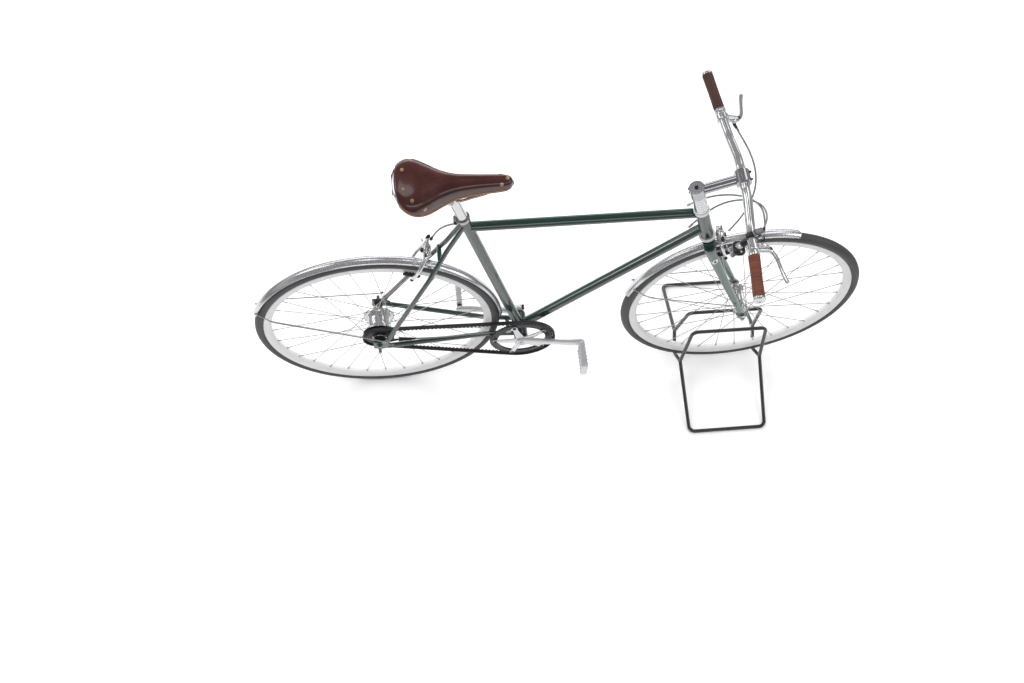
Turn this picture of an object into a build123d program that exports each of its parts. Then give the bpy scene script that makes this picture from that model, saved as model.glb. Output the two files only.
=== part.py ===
# City bicycle: steel diamond frame, toothed-belt drive, gear hub, full fenders, leather saddle
# and grips, with the tubular display stand that holds its front wheel.
# Millimetres, +X forward, +Y to the rider's left, +Z up. The origin is on the floor, midway
# between the two wheel axles.
from build123d import *
from math import atan2, cos, pi, radians, sin, sqrt, tan
import os

os.makedirs("parts", exist_ok=True)

# ---------------------------------------------------------------- driving dimensions
WHEELBASE = 1034.0
TYRE_RADIUS = 342.0  # outer radius of a narrow tyre on a 622 mm bead seat
TYRE_SECTION = 14.0  # radius of the round tyre section
FRONT_LIFT = 18.0  # the front wheel stands this far above the floor, on the stand's cross links
HEAD_ANGLE = 71.5  # degrees above the horizontal
FORK_RAKE = 46.0  # front axle ahead of the steering axis
BB_CENTRE = Vector(-114, 0, 280)
CRANK_LENGTH = 170.0
BELT_PITCH = 11.0
RING_TEETH = 55
SPROCKET_TEETH = 26
BELT_Y = -42.0  # middle plane of the belt
SEAT_CLUSTER = Vector(-275, 0, 835)
DROPOUT_Y = 68.0  # middle of each rear dropout plate
FORK_TIP_Y = 55.0  # middle of each front dropout plate
BAR_CENTRE = Vector(384, 0, 957)
BAR_BEND = Vector(384, 55, 957)  # left side; the right side mirrors it
BAR_KNEE = Vector(379.5, 130, 944.4)
BAR_END = Vector(359.3, 322, 949.7)
GRIP_START_Y = 213.0
SADDLE_TOP_Z = 1025.0
TUBE_GAP = 0.02  # a mitred tube stops this far from its neighbour

# ---------------------------------------------------------------- places worked out from them
REAR_AXLE = Vector(-WHEELBASE / 2, 0, TYRE_RADIUS)
FRONT_AXLE = Vector(WHEELBASE / 2, 0, TYRE_RADIUS + FRONT_LIFT)
STEER_UP = Vector(-cos(radians(HEAD_ANGLE)), 0, sin(radians(HEAD_ANGLE)))
STEER_FORWARD = Vector(sin(radians(HEAD_ANGLE)), 0, cos(radians(HEAD_ANGLE)))
STEER_FOOT = FRONT_AXLE - STEER_FORWARD * FORK_RAKE
SIDEWAYS = Vector(0, 1, 0)
UP = Vector(0, 0, 1)


def steer_point(height, forward=0.0, side=0.0):
    """A point beside the steering axis, by its height along the axis."""
    return STEER_FOOT + STEER_UP * height + STEER_FORWARD * forward + SIDEWAYS * side


def steer_plane(height):
    """A plane square to the steering axis, its x along the forward side."""
    return Plane(origin=steer_point(height), x_dir=STEER_FORWARD, z_dir=STEER_UP)


def side_plane(origin):
    """A plane square to Y that is seen from the right: its x points forward and its y up."""
    return Plane(origin=origin, x_dir=(1, 0, 0), z_dir=(0, -1, 0))


def wheel_point(axle, radius, angle, side=0.0):
    """A point by radius and angle around a wheel's axle; 0 is forward and 90 is up."""
    a = radians(angle)
    return axle + Vector(radius * cos(a), side, radius * sin(a))


def write(part, name):
    """Label a finished piece and write its STEP file."""
    part.label = name
    export_step(part, f"parts/{name}.step")


# ---------------------------------------------------------------- shared shapes
def rod(start, end, radius):
    """A straight round rod."""
    run = end - start
    with BuildPart() as piece:
        with BuildSketch(Plane(origin=start, z_dir=run)):
            Circle(radius)
        extrude(amount=run.length)
    return piece.part


def cone(start, end, radius, end_radius):
    """A straight round rod that tapers from one radius to another."""
    run = end - start
    with BuildPart() as piece:
        with BuildSketch(Plane(origin=start, z_dir=run)):
            Circle(radius)
        with BuildSketch(Plane(origin=end, z_dir=run)):
            Circle(end_radius)
        loft()
    return piece.part


def ring(start, end, outer, inner):
    """A straight sleeve."""
    run = end - start
    with BuildPart() as piece:
        with BuildSketch(Plane(origin=start, z_dir=run)):
            Circle(outer)
            Circle(inner, mode=Mode.SUBTRACT)
        extrude(amount=run.length)
    return piece.part


def bend_radii(points):
    """The largest natural arc at each inner point of a route."""
    radii = []
    for before, here, after in zip(points, points[1:], points[2:]):
        run_in = here - before
        run_out = after - here
        half_turn = radians(run_in.get_angle(run_out)) / 2
        radii.append(0.45 * min(run_in.length, run_out.length) / tan(half_turn))
    return radii


def bent_rod(points, radius, radii):
    """A round rod along straight runs joined by tangent arcs."""
    with BuildPart() as piece:
        with BuildLine() as route:
            FilletPolyline(*points, radius=radii)
        with BuildSketch(Plane(origin=route.line @ 0, z_dir=route.line % 0)):
            Circle(radius)
        sweep()
    return piece.part


def cable(points, radius, name):
    """A cable housing with arcs as large as its runs allow; prints the arcs' radii."""
    radii = bend_radii(points)
    piece = bent_rod(points, radius, radii)
    length = piece.volume / (pi * radius**2)
    print(f"{name}: length {length:.0f}, radii {[round(r) for r in radii]}")
    return piece


def mirrored(point):
    """The same place on the other side of the bicycle's middle plane."""
    return Vector(point.X, -point.Y, point.Z)


# ---------------------------------------------------------------- wheels
RIM_OUTER = 318.0
RIM_INNER = 296.0
RIM_HALF_WIDTH = 11.0
RIM_WALL = 2.5
TYRE_WALL = 3.0
SPOKE_RADIUS = 1.0
SPOKES = 32
AXLE_RADIUS = 5.0
AXLE_CLEARANCE = 0.05
TYRE_CENTRE = TYRE_RADIUS - TYRE_SECTION


def tyre(axle):
    """A hollow round tyre, cut off where the rim holds it."""
    bead = RIM_OUTER + 0.3
    with BuildPart() as piece:
        with BuildSketch(Plane.YZ):
            with Locations((0, TYRE_CENTRE)):
                Circle(TYRE_SECTION)
                Circle(TYRE_SECTION - TYRE_WALL, mode=Mode.SUBTRACT)
            with Locations((0, bead - TYRE_SECTION)):
                Rectangle(3 * TYRE_SECTION, 2 * TYRE_SECTION, mode=Mode.SUBTRACT)
        revolve(axis=Axis.Y)
    return piece.part.moved(Location(axle))


def rim(axle):
    """A box rim with an open well for the tyre."""
    well = RIM_OUTER - 7
    well_half = RIM_HALF_WIDTH - RIM_WALL
    shoulder = RIM_INNER + 6
    with BuildPart() as piece:
        with BuildSketch(Plane.YZ):
            with BuildLine():
                Line((-RIM_HALF_WIDTH, RIM_OUTER), (-RIM_HALF_WIDTH, shoulder))
                ThreePointArc((-RIM_HALF_WIDTH, shoulder), (0, RIM_INNER), (RIM_HALF_WIDTH, shoulder))
                Line((RIM_HALF_WIDTH, shoulder), (RIM_HALF_WIDTH, RIM_OUTER))
                Line((RIM_HALF_WIDTH, RIM_OUTER), (-RIM_HALF_WIDTH, RIM_OUTER))
            make_face()
            with Locations((0, well + 10)):
                Rectangle(2 * well_half, 20, mode=Mode.SUBTRACT)
        revolve(axis=Axis.Y)
    return piece.part.moved(Location(axle))


def spokes(axle, flange_radius, flange_y):
    """Straight spokes from the two hub flanges to the rim, one node for the whole set."""
    pieces = []
    for index in range(SPOKES):
        angle = 360 * index / SPOKES
        side = flange_y if index % 2 else -flange_y
        inner = wheel_point(axle, flange_radius + 0.3, angle, side)
        outer = wheel_point(axle, RIM_INNER - 0.3, angle, side * 0.08)
        pieces.append(rod(inner, outer, SPOKE_RADIUS))
    return Compound(children=pieces)


def hub(axle, profile):
    """A hub turned from half of its profile: (y, radius) pairs, bored for the axle."""
    half = [(0, profile[0][1])] + profile
    outline = [(-y, r) for y, r in reversed(half[1:])] + half
    bore = AXLE_RADIUS + AXLE_CLEARANCE
    end = profile[-1][0]
    with BuildPart() as piece:
        with BuildSketch(Plane.YZ):
            with BuildLine():
                Polyline(*outline)
                Polyline(outline[-1], (end, bore), (-end, bore), outline[0])
            make_face()
        revolve(axis=Axis.Y)
    return piece.part.moved(Location(axle))


FRONT_FLANGE_RADIUS = 22.0
FRONT_FLANGE_Y = 34.0
REAR_FLANGE_RADIUS = 44.0
REAR_FLANGE_Y = 26.0
front_hub_profile = [(10, 13), (30, 16), (32, 16), (32.2, 22), (35.8, 22), (36, 13), (45, 11)]
rear_hub_profile = [(12, 33), (23, 35), (24, 44), (28, 44), (29, 34), (32, 28), (34, 20)]

write(tyre(FRONT_AXLE), "front_tyre")
write(rim(FRONT_AXLE), "front_rim")
write(spokes(FRONT_AXLE, FRONT_FLANGE_RADIUS, FRONT_FLANGE_Y), "front_spokes")
write(hub(FRONT_AXLE, front_hub_profile), "front_hub")
write(tyre(REAR_AXLE), "rear_tyre")
write(rim(REAR_AXLE), "rear_rim")
write(spokes(REAR_AXLE, REAR_FLANGE_RADIUS, REAR_FLANGE_Y), "rear_spokes")
write(hub(REAR_AXLE, rear_hub_profile), "rear_hub")

# ---------------------------------------------------------------- fork and headset
STEERER_RADIUS = 14.3
STEERER_TOP = 612.0  # heights along the steering axis
CROWN_LOW = 363.0
CROWN_HIGH = 381.0
CROWN_DEPTH = 32.0
CROWN_WIDTH = 92.0
RACE_TOP = 384.5
CUP_LOW = 385.5
HEAD_TUBE_LOW = 393.0
HEAD_TUBE_HIGH = 508.0
CUP_HIGH = 516.0
STEM_LOW = 583.0
STEM_HIGH = 615.0
BLADE_Y = 35.0
DROPOUT_THICKNESS = 6.0
AXLE_SLOT_RADIUS = AXLE_RADIUS + 0.2

with BuildPart() as fork_crown:
    with BuildSketch(steer_plane(CROWN_LOW)):
        RectangleRounded(CROWN_DEPTH, CROWN_WIDTH, 15)
    extrude(amount=CROWN_HIGH - CROWN_LOW)
    fillet(fork_crown.edges().group_by(Axis(STEER_FOOT, STEER_UP))[-1], 4)
    with BuildSketch(steer_plane(CROWN_HIGH)):
        Circle(STEERER_RADIUS)
    extrude(amount=STEERER_TOP - CROWN_HIGH)
write(fork_crown.part, "fork_crown")


FENDER_EYELET = (-14, 11)  # behind and above the front axle


def dropout_plate(centre, reach, thickness):
    """A flat dropout in an XZ plane: a round eye with a tongue up to where its tube ends."""
    with BuildPart() as piece:
        with BuildSketch(side_plane(centre + SIDEWAYS * thickness / 2)):
            Circle(13)
            with Locations(FENDER_EYELET):
                Circle(6)
            with BuildLine():
                Polyline((-11, 5), (reach.X - 6, reach.Z), (reach.X + 6, reach.Z), (11, 5), (-11, 5))
            make_face()
            Circle(AXLE_SLOT_RADIUS, mode=Mode.SUBTRACT)
        extrude(amount=thickness)
    return piece.part


def fork_blade(side):
    top = steer_point(CROWN_LOW + 5, -2, side * BLADE_Y)
    eye = FRONT_AXLE + SIDEWAYS * side * FORK_TIP_Y
    low = eye + (top - eye).normalized() * 24
    reach = (low - eye) * 1.25
    with BuildPart() as blade:
        with BuildSketch(Plane(origin=top, x_dir=STEER_FORWARD, z_dir=low - top)):
            Ellipse(14, 10)
        with BuildSketch(Plane(origin=low, x_dir=STEER_FORWARD, z_dir=low - top)):
            Ellipse(8, 7)
        loft()
        add(dropout_plate(eye, reach, DROPOUT_THICKNESS))
        add(fork_crown.part, mode=Mode.SUBTRACT)
    return blade.part


write(Compound(children=[fork_blade(1), fork_blade(-1)]), "fork_blades")


AXLE_CONE_RADIUS = 9.0
AXLE_NUT_RADIUS = 9.0


def wheel_axle(axle, cone_start, plate_inner, end, nut_length):
    """A solid axle with its cones inside the dropouts and its nuts outside them."""
    with BuildPart() as piece:
        add(rod(axle - SIDEWAYS * end, axle + SIDEWAYS * end, AXLE_RADIUS))
        for side in (-1, 1):
            out = SIDEWAYS * side
            plate_outer = plate_inner + DROPOUT_THICKNESS
            cone_end = plate_inner - 0.05
            nut_start = plate_outer + 0.05
            nut_end = plate_outer + nut_length
            add(rod(axle + out * cone_start, axle + out * cone_end, AXLE_CONE_RADIUS))
            add(rod(axle + out * nut_start, axle + out * nut_end, AXLE_NUT_RADIUS))
    return piece.part


HALF_PLATE = DROPOUT_THICKNESS / 2
write(wheel_axle(FRONT_AXLE, 46, FORK_TIP_Y - HALF_PLATE, 70, 8), "front_axle")

SPACER_RADIUS = 17.0
with BuildPart() as headset_spacers:
    add(ring(steer_point(CROWN_HIGH), steer_point(RACE_TOP), 18.5, STEERER_RADIUS + 0.02))
    add(ring(steer_point(CUP_HIGH + 1), steer_point(STEM_LOW - 0.05), SPACER_RADIUS, STEERER_RADIUS + 0.02))
write(headset_spacers.part, "headset_spacers")

with BuildPart() as headset_cups:
    add(ring(steer_point(CUP_LOW), steer_point(HEAD_TUBE_LOW - TUBE_GAP), 19.5, STEERER_RADIUS + 0.08))
    add(ring(steer_point(HEAD_TUBE_HIGH + TUBE_GAP), steer_point(CUP_HIGH), 19.5, STEERER_RADIUS + 0.08))
write(headset_cups.part, "headset_cups")

# ---------------------------------------------------------------- stem and handlebar
BAR_RADIUS = 11.1
BAR_BULGE_RADIUS = 13.0
BAR_BULGE_HALF = 21.0
BAR_TAPER_HALF = 34.0
BAR_CLAMP_HALF = 17.0
BAR_CLAMP_RADIUS = 18.5

with BuildPart() as handlebar:
    half_bar = [BAR_END, BAR_KNEE, BAR_BEND]
    add(bent_rod(half_bar + [mirrored(p) for p in reversed(half_bar)], BAR_RADIUS, 140))
    with BuildSketch(Plane(origin=BAR_CENTRE, x_dir=(0, 1, 0), z_dir=(1, 0, 0))):
        Polygon(
            (-BAR_TAPER_HALF, 0), (-BAR_TAPER_HALF, BAR_RADIUS), (-BAR_BULGE_HALF, BAR_BULGE_RADIUS),
            (BAR_BULGE_HALF, BAR_BULGE_RADIUS), (BAR_TAPER_HALF, BAR_RADIUS), (BAR_TAPER_HALF, 0),
            align=None,
        )
    revolve(axis=Axis(BAR_CENTRE, SIDEWAYS))
write(handlebar.part, "handlebar")

clamp_start = BAR_CENTRE - SIDEWAYS * BAR_CLAMP_HALF
clamp_end = BAR_CENTRE + SIDEWAYS * BAR_CLAMP_HALF
steerer_top = steer_point(STEERER_TOP + 0.2)
with BuildPart() as stem:
    add(rod(steer_point(STEM_LOW), steer_point(STEM_HIGH), 19))
    add(rod(steer_point((STEM_LOW + STEM_HIGH) / 2), BAR_CENTRE, 12.5))
    add(rod(clamp_start, clamp_end, BAR_CLAMP_RADIUS))
    add(rod(steer_point(STEM_LOW - 5), steerer_top, STEERER_RADIUS + 0.03), mode=Mode.SUBTRACT)
    add(rod(clamp_start - SIDEWAYS, clamp_end + SIDEWAYS, BAR_BULGE_RADIUS + 0.03), mode=Mode.SUBTRACT)
write(stem.part, "stem")


def bar_point(y):
    """A point on the bar's straight outer run; negative y is the right side."""
    left = BAR_KNEE + (BAR_END - BAR_KNEE) * ((abs(y) - BAR_KNEE.Y) / (BAR_END.Y - BAR_KNEE.Y))
    return left if y > 0 else mirrored(left)


GRIP_RADIUS = 13.6
GRIP_BORE = BAR_RADIUS + 0.05
CAP_END_Y = 330.0

COLLAR_LENGTH = 6.0

grips = []
grip_ends = []
for s in (-1, 1):
    grip_start = bar_point(s * GRIP_START_Y)
    collar_start = bar_point(s * (GRIP_START_Y - COLLAR_LENGTH))
    collar_end = bar_point(s * (GRIP_START_Y - 0.05))
    grips.append(ring(grip_start, bar_point(s * BAR_END.Y), GRIP_RADIUS, GRIP_BORE))
    grip_ends.append(ring(collar_start, collar_end, 14.6, GRIP_BORE))
    grip_ends.append(rod(bar_point(s * (BAR_END.Y + 0.05)), bar_point(s * CAP_END_Y), 14.0))
write(Compound(children=grips), "grips")
write(Compound(children=grip_ends), "grip_ends")

# ---------------------------------------------------------------- levers and shifter
LEVER_CLAMP_Y = 190.0
LEVER_CLAMP_WIDTH = 14.0


def bar_bore(y):
    """The space that the bar takes up beside one place on it, for a clamp's hole."""
    return rod(bar_point(y - 22), bar_point(y + 22), GRIP_BORE)


def brake_lever(side):
    """Clamp ring, bracket, cable barrel and blade of one lever, as one piece."""
    start = bar_point(LEVER_CLAMP_Y - LEVER_CLAMP_WIDTH / 2)
    end = bar_point(LEVER_CLAMP_Y + LEVER_CLAMP_WIDTH / 2)
    pivot = Vector(414, 190, 938)
    route = [pivot, Vector(426, 205, 935), Vector(433, 240, 931), Vector(441, 274, 928)]
    barrel = [Vector(400, 194, 942), Vector(400, 172, 942)]
    with BuildPart() as piece:
        add(rod(start, end, 15.5))
        add(cone(bar_point(LEVER_CLAMP_Y), pivot, 8, 7))
        add(rod(*barrel, 5))
        add(bent_rod(route, 4.5, 20))
        add(bar_bore(LEVER_CLAMP_Y), mode=Mode.SUBTRACT)
        if side < 0:
            mirror(about=Plane.XZ, mode=Mode.REPLACE)
    return piece.part


write(Compound(children=[brake_lever(1), brake_lever(-1)]), "brake_levers")

SHIFTER_Y = -158.0
WINDOW_CENTRE = Vector(387, -154, 952)
POD_CENTRE = Vector(351, -170, 911)
with BuildPart() as gear_shifter:
    add(rod(bar_point(SHIFTER_Y + 7), bar_point(SHIFTER_Y - 7), 15.5))
    add(cone(WINDOW_CENTRE, WINDOW_CENTRE + UP * 10, 10, 9))
    with BuildSketch(Plane(origin=POD_CENTRE)):
        RectangleRounded(32, 42, 12)
    extrude(amount=16)
    add(rod(Vector(355, -160, 920), bar_point(SHIFTER_Y), 7))
    add(rod(Vector(384, -158, 946), Vector(402, -147, 946), 4.5))
    add(bar_bore(SHIFTER_Y), mode=Mode.SUBTRACT)
write(gear_shifter.part, "gear_shifter")

# ---------------------------------------------------------------- rim brakes
FRONT_CALIPER_OFFSET = 34.0  # from the steering axis to the middle of the arms
REAR_CALIPER_OFFSET = 38.0  # from the seat stays' plane
CALIPER_DEPTH = 18.0
PAD_RADIUS = 306.0  # pads' distance from the axle
PAD_GAP = 1.8
PAD_INNER = RIM_HALF_WIDTH + PAD_GAP
PAD_OUTER = PAD_INNER + 8
ARM_WIDTH = 9.0
ARM_END_Y = PAD_OUTER + 6  # middle of each arm where it meets its pad
CROWN_BOLT = 371.0


def caliper(bolt, outward, upward, reach, bolt_length):
    """Two curved arms from the bolt down to the pads, with the bolt that holds them."""
    with BuildPart() as piece:
        back = bolt - outward * CALIPER_DEPTH / 2
        with BuildSketch(Plane(origin=back, x_dir=upward.cross(outward), z_dir=outward)):
            Circle(10)
            for side in (-1, 1):
                elbow = (side * 33, -0.55 * reach)
                with BuildLine():
                    FilletPolyline((0, 2), (side * 30, 2), elbow, (side * ARM_END_Y, -reach), radius=9)
                trace(line_width=ARM_WIDTH)
        extrude(amount=CALIPER_DEPTH)
        between_pads = bolt - upward * reach - outward * 10
        with BuildSketch(Plane(origin=between_pads, x_dir=SIDEWAYS, z_dir=outward)):
            Rectangle(2 * (PAD_OUTER + 0.05), 24)
        extrude(amount=20, mode=Mode.SUBTRACT)
        add(rod(bolt - outward * bolt_length, bolt + outward * 12, 4))
    return piece.part


def brake_pads(middle, along, length):
    """A pair of pads in their holders, with the studs out to the arms."""
    pads = []
    for side in (-1, 1):
        inner = middle + SIDEWAYS * side * PAD_INNER
        plane = Plane(origin=inner, x_dir=along, z_dir=SIDEWAYS * side)
        with BuildPart() as piece:
            with BuildSketch(plane):
                RectangleRounded(length, 11, 4)
            extrude(amount=PAD_OUTER - PAD_INNER)
        pads.append(piece.part)
    return Compound(children=pads)


front_bolt = steer_point(CROWN_BOLT, FRONT_CALIPER_OFFSET)
front_pad_height = sqrt(PAD_RADIUS**2 - (FORK_RAKE - FRONT_CALIPER_OFFSET) ** 2)
front_reach = CROWN_BOLT - front_pad_height
crown_front = CROWN_DEPTH / 2
front_bolt_length = FRONT_CALIPER_OFFSET - crown_front - 0.05
write(caliper(front_bolt, STEER_FORWARD, STEER_UP, front_reach, front_bolt_length), "front_brake")
write(brake_pads(steer_point(front_pad_height, FRONT_CALIPER_OFFSET), STEER_FORWARD, 44), "front_brake_pads")

# ---------------------------------------------------------------- fenders
FENDER_RADIUS = 349.5
FENDER_HALF_WIDTH = 13.5
FENDER_DEPTH = 6.0
FENDER_SHEET = 1.2
FRONT_FENDER_ANGLES = (75.5, 168.0)
REAR_FENDER_ANGLES = (4.0, 162.0)
STAY_RADIUS = 1.6


def fender(axle, angles):
    """A curved strip around the tyre from one angle to another."""
    a = radians(angles[0])
    plane = Plane(origin=axle, x_dir=SIDEWAYS, z_dir=(sin(a), 0, -cos(a)))
    half = FENDER_HALF_WIDTH
    edge = FENDER_RADIUS - FENDER_DEPTH
    inner = FENDER_RADIUS - FENDER_SHEET
    inner_half = half - FENDER_SHEET
    with BuildPart() as piece:
        with BuildSketch(plane):
            with BuildLine():
                ThreePointArc((-half, edge), (0, FENDER_RADIUS), (half, edge))
                Line((half, edge), (inner_half, edge))
                ThreePointArc((inner_half, edge), (0, inner), (-inner_half, edge))
                Line((-inner_half, edge), (-half, edge))
            make_face()
        revolve(axis=Axis(axle, (0, -1, 0)), revolution_arc=angles[1] - angles[0])
    return piece.part


def fender_stays(axle, low, angle):
    """Wire stays from the fork or dropouts to beside the fender's edges, both sides."""
    wires = []
    for side in (-1, 1):
        start = axle + Vector(low.X, side * low.Y, low.Z)
        middle = wheel_point(axle, 300, angle, side * (FENDER_HALF_WIDTH + 22))
        beside = FENDER_HALF_WIDTH + STAY_RADIUS + 0.6
        high = wheel_point(axle, FENDER_RADIUS - FENDER_DEPTH + 3, angle, side * beside)
        wires.append(bent_rod([start, middle, high], STAY_RADIUS, 60))
    return Compound(children=wires)


write(fender(FRONT_AXLE, FRONT_FENDER_ANGLES), "front_fender")
write(fender(REAR_AXLE, REAR_FENDER_ANGLES), "rear_fender")
write(fender_stays(FRONT_AXLE, Vector(-34, 62, 70), 160), "front_fender_stays")
write(fender_stays(REAR_AXLE, Vector(14, 77, 40), 158), "rear_fender_stays")

# ---------------------------------------------------------------- frame tubes
HEAD_TUBE_RADIUS = 17.0
TOP_TUBE_RADIUS = 12.7
DOWN_TUBE_RADIUS = 13.3
SEAT_TUBE_RADIUS = 14.3
SEATPOST_RADIUS = 13.5
SEAT_STAY_RADIUS = 6.5
CHAIN_STAY_RADIUS = 7.0
BB_SHELL_RADIUS = 20.0
BB_SHELL_HALF = 34.0
SPINDLE_RADIUS = 8.5
TOP_TUBE_FRONT = 500.0  # height of its middle line along the steering axis
DOWN_TUBE_FRONT = 434.0
DOWN_TUBE_LOW = BB_CENTRE + Vector(2, 0, 8)
SEAT_UP = (SEAT_CLUSTER - BB_CENTRE).normalized()
SEAT_TUBE_TOP = SEAT_CLUSTER + SEAT_UP * 14

seat_tube_solid = rod(BB_CENTRE, SEAT_TUBE_TOP, SEAT_TUBE_RADIUS)
head_tube_solid = rod(steer_point(HEAD_TUBE_LOW), steer_point(HEAD_TUBE_HIGH), HEAD_TUBE_RADIUS)
shell_half = SIDEWAYS * BB_SHELL_HALF
shell_solid = rod(BB_CENTRE - shell_half, BB_CENTRE + shell_half, BB_SHELL_RADIUS)
below_head = steer_point(HEAD_TUBE_LOW - 20)
above_head = steer_point(HEAD_TUBE_HIGH + 20)
CUP_ROOM = 24.0  # a little more than the headset cups' radius
seat_cutter = rod(BB_CENTRE, SEAT_TUBE_TOP + SEAT_UP * 9, SEAT_TUBE_RADIUS + TUBE_GAP)
head_cutter = rod(below_head, above_head, HEAD_TUBE_RADIUS + TUBE_GAP)
low_cup_cutter = rod(below_head, steer_point(HEAD_TUBE_LOW + TUBE_GAP), CUP_ROOM)
high_cup_cutter = rod(steer_point(HEAD_TUBE_HIGH - TUBE_GAP), above_head, CUP_ROOM)
past_shell = SIDEWAYS * 60
shell_cutter = rod(BB_CENTRE - past_shell, BB_CENTRE + past_shell, BB_SHELL_RADIUS + TUBE_GAP)

with BuildPart() as head_tube:
    add(head_tube_solid)
    add(rod(below_head, above_head, 15.2), mode=Mode.SUBTRACT)
write(head_tube.part, "head_tube")

with BuildPart() as bottom_bracket_shell:
    add(shell_solid)
    add(rod(BB_CENTRE - past_shell, BB_CENTRE + past_shell, 17), mode=Mode.SUBTRACT)
write(bottom_bracket_shell.part, "bottom_bracket_shell")

POST_LOW = SEAT_CLUSTER - SEAT_UP * 110
over = SEAT_UP * 5
with BuildPart() as seat_tube:
    add(seat_tube_solid)
    add(rod(POST_LOW - over, SEAT_TUBE_TOP + over, SEATPOST_RADIUS + 0.05), mode=Mode.SUBTRACT)
    add(shell_cutter, mode=Mode.SUBTRACT)
write(seat_tube.part, "seat_tube")

with BuildPart() as top_tube:
    add(rod(SEAT_CLUSTER - SEAT_UP * 22, steer_point(TOP_TUBE_FRONT), TOP_TUBE_RADIUS))
    add(seat_cutter, mode=Mode.SUBTRACT)
    add(head_cutter, mode=Mode.SUBTRACT)
    add(high_cup_cutter, mode=Mode.SUBTRACT)
write(top_tube.part, "top_tube")

with BuildPart() as down_tube:
    add(rod(DOWN_TUBE_LOW, steer_point(DOWN_TUBE_FRONT), DOWN_TUBE_RADIUS))
    add(seat_cutter, mode=Mode.SUBTRACT)
    add(head_cutter, mode=Mode.SUBTRACT)
    add(low_cup_cutter, mode=Mode.SUBTRACT)
    add(shell_cutter, mode=Mode.SUBTRACT)
write(down_tube.part, "down_tube")

CHAIN_STAY_BEND = Vector(-215, 27.5, 295.5)
CHAIN_STAY_FRONT = Vector(-112, 24, 281)


def chain_stay(side):
    """One chain stay, notched for its dropout and mitred to the shell."""
    end = REAR_AXLE + Vector(22, DROPOUT_Y - 0.5, -4)
    route = [CHAIN_STAY_FRONT, CHAIN_STAY_BEND, end]
    if side < 0:
        route = [mirrored(p) for p in route]
    with BuildPart() as stay:
        add(bent_rod(route, CHAIN_STAY_RADIUS, 160))
        add(shell_cutter, mode=Mode.SUBTRACT)
        add(seat_cutter, mode=Mode.SUBTRACT)
        add(dropout_cutter(side), mode=Mode.SUBTRACT)
    return stay.part


RACK_EYELET = (-7, 15.5)  # behind and above the rear axle
RACK_EYELET_RADIUS = 2.6


def rear_dropout(side):
    """Plate that ties a chain stay to a seat stay, slotted for the axle, with a rack eyelet."""
    outside = REAR_AXLE + SIDEWAYS * (side * DROPOUT_Y + DROPOUT_THICKNESS / 2)
    with BuildPart() as plate:
        with BuildSketch(side_plane(outside)):
            with BuildLine():
                FilletPolyline(
                    (-17, -11), (34, -13), (34, 4), (23, 14), (31, 34), (21, 39), (8, 21), (-17, 22),
                    radius=4, close=True
                )
            make_face()
            Circle(AXLE_SLOT_RADIUS, mode=Mode.SUBTRACT)
            with Locations(RACK_EYELET):
                Circle(RACK_EYELET_RADIUS, mode=Mode.SUBTRACT)
        extrude(amount=DROPOUT_THICKNESS)
    return plate.part


def dropout_cutter(side):
    """The space of a dropout plate, a little larger, where the stays are notched."""
    centre = REAR_AXLE + Vector(9, side * DROPOUT_Y, 14)
    with BuildPart() as space:
        with BuildSketch(side_plane(centre)):
            Rectangle(60, 64)
        extrude(amount=DROPOUT_THICKNESS / 2 + TUBE_GAP, both=True)
    return space.part


SEAT_STAY_ROUTE = [
    Vector(-277, 8, 830), Vector(-320, 15, 735), Vector(-372, 36, 622), Vector(-494, 69, 372),
]


def seat_stay(side):
    """One seat stay, notched for its dropout and mitred to the seat tube."""
    route = [p if side > 0 else mirrored(p) for p in SEAT_STAY_ROUTE]
    with BuildPart() as stay:
        add(bent_rod(route, SEAT_STAY_RADIUS, 240))
        add(dropout_cutter(side), mode=Mode.SUBTRACT)
        add(seat_cutter, mode=Mode.SUBTRACT)
    return stay.part


both_chain_stays = [chain_stay(1), chain_stay(-1)]
both_seat_stays = [seat_stay(1), seat_stay(-1)]
write(Compound(children=both_chain_stays), "chain_stays")
write(Compound(children=both_seat_stays), "seat_stays")
write(Compound(children=[rear_dropout(1), rear_dropout(-1)]), "rear_dropouts")

STAY_UP = Vector(210, 0, 454).normalized()  # the seat stays' direction, seen from the side
STAY_BACK = Vector(-STAY_UP.Z, 0, STAY_UP.X)
BRIDGE_CENTRE = Vector(-340, 0, 700)
CHAIN_BRIDGE_CENTRE = Vector(-150, 0, 284)
bridge_from_axle = (BRIDGE_CENTRE - REAR_AXLE).dot(STAY_UP)
bridge_behind_axle = (BRIDGE_CENTRE - REAR_AXLE).dot(STAY_BACK)


def bridge(centre, half, radius, stays):
    """A cross rod between a pair of stays."""
    with BuildPart() as piece:
        add(rod(centre - SIDEWAYS * half, centre + SIDEWAYS * half, radius))
        for stay in stays:
            add(stay, mode=Mode.SUBTRACT)
    return piece.part


brake_bridge = bridge(BRIDGE_CENTRE, 24, 6, both_seat_stays)
chain_bridge = bridge(CHAIN_BRIDGE_CENTRE, 26, 5.5, both_chain_stays)
write(Compound(children=[brake_bridge, chain_bridge]), "frame_bridges")

rear_bolt = BRIDGE_CENTRE + STAY_BACK * REAR_CALIPER_OFFSET
rear_offset = REAR_CALIPER_OFFSET + bridge_behind_axle
rear_pad_height = sqrt(PAD_RADIUS**2 - rear_offset**2)
rear_reach = bridge_from_axle - rear_pad_height
write(caliper(rear_bolt, STAY_BACK, STAY_UP, rear_reach, REAR_CALIPER_OFFSET - 6.05), "rear_brake")
rear_pad_middle = REAR_AXLE + STAY_UP * rear_pad_height + STAY_BACK * rear_offset
write(brake_pads(rear_pad_middle, STAY_BACK, 44), "rear_brake_pads")

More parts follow.
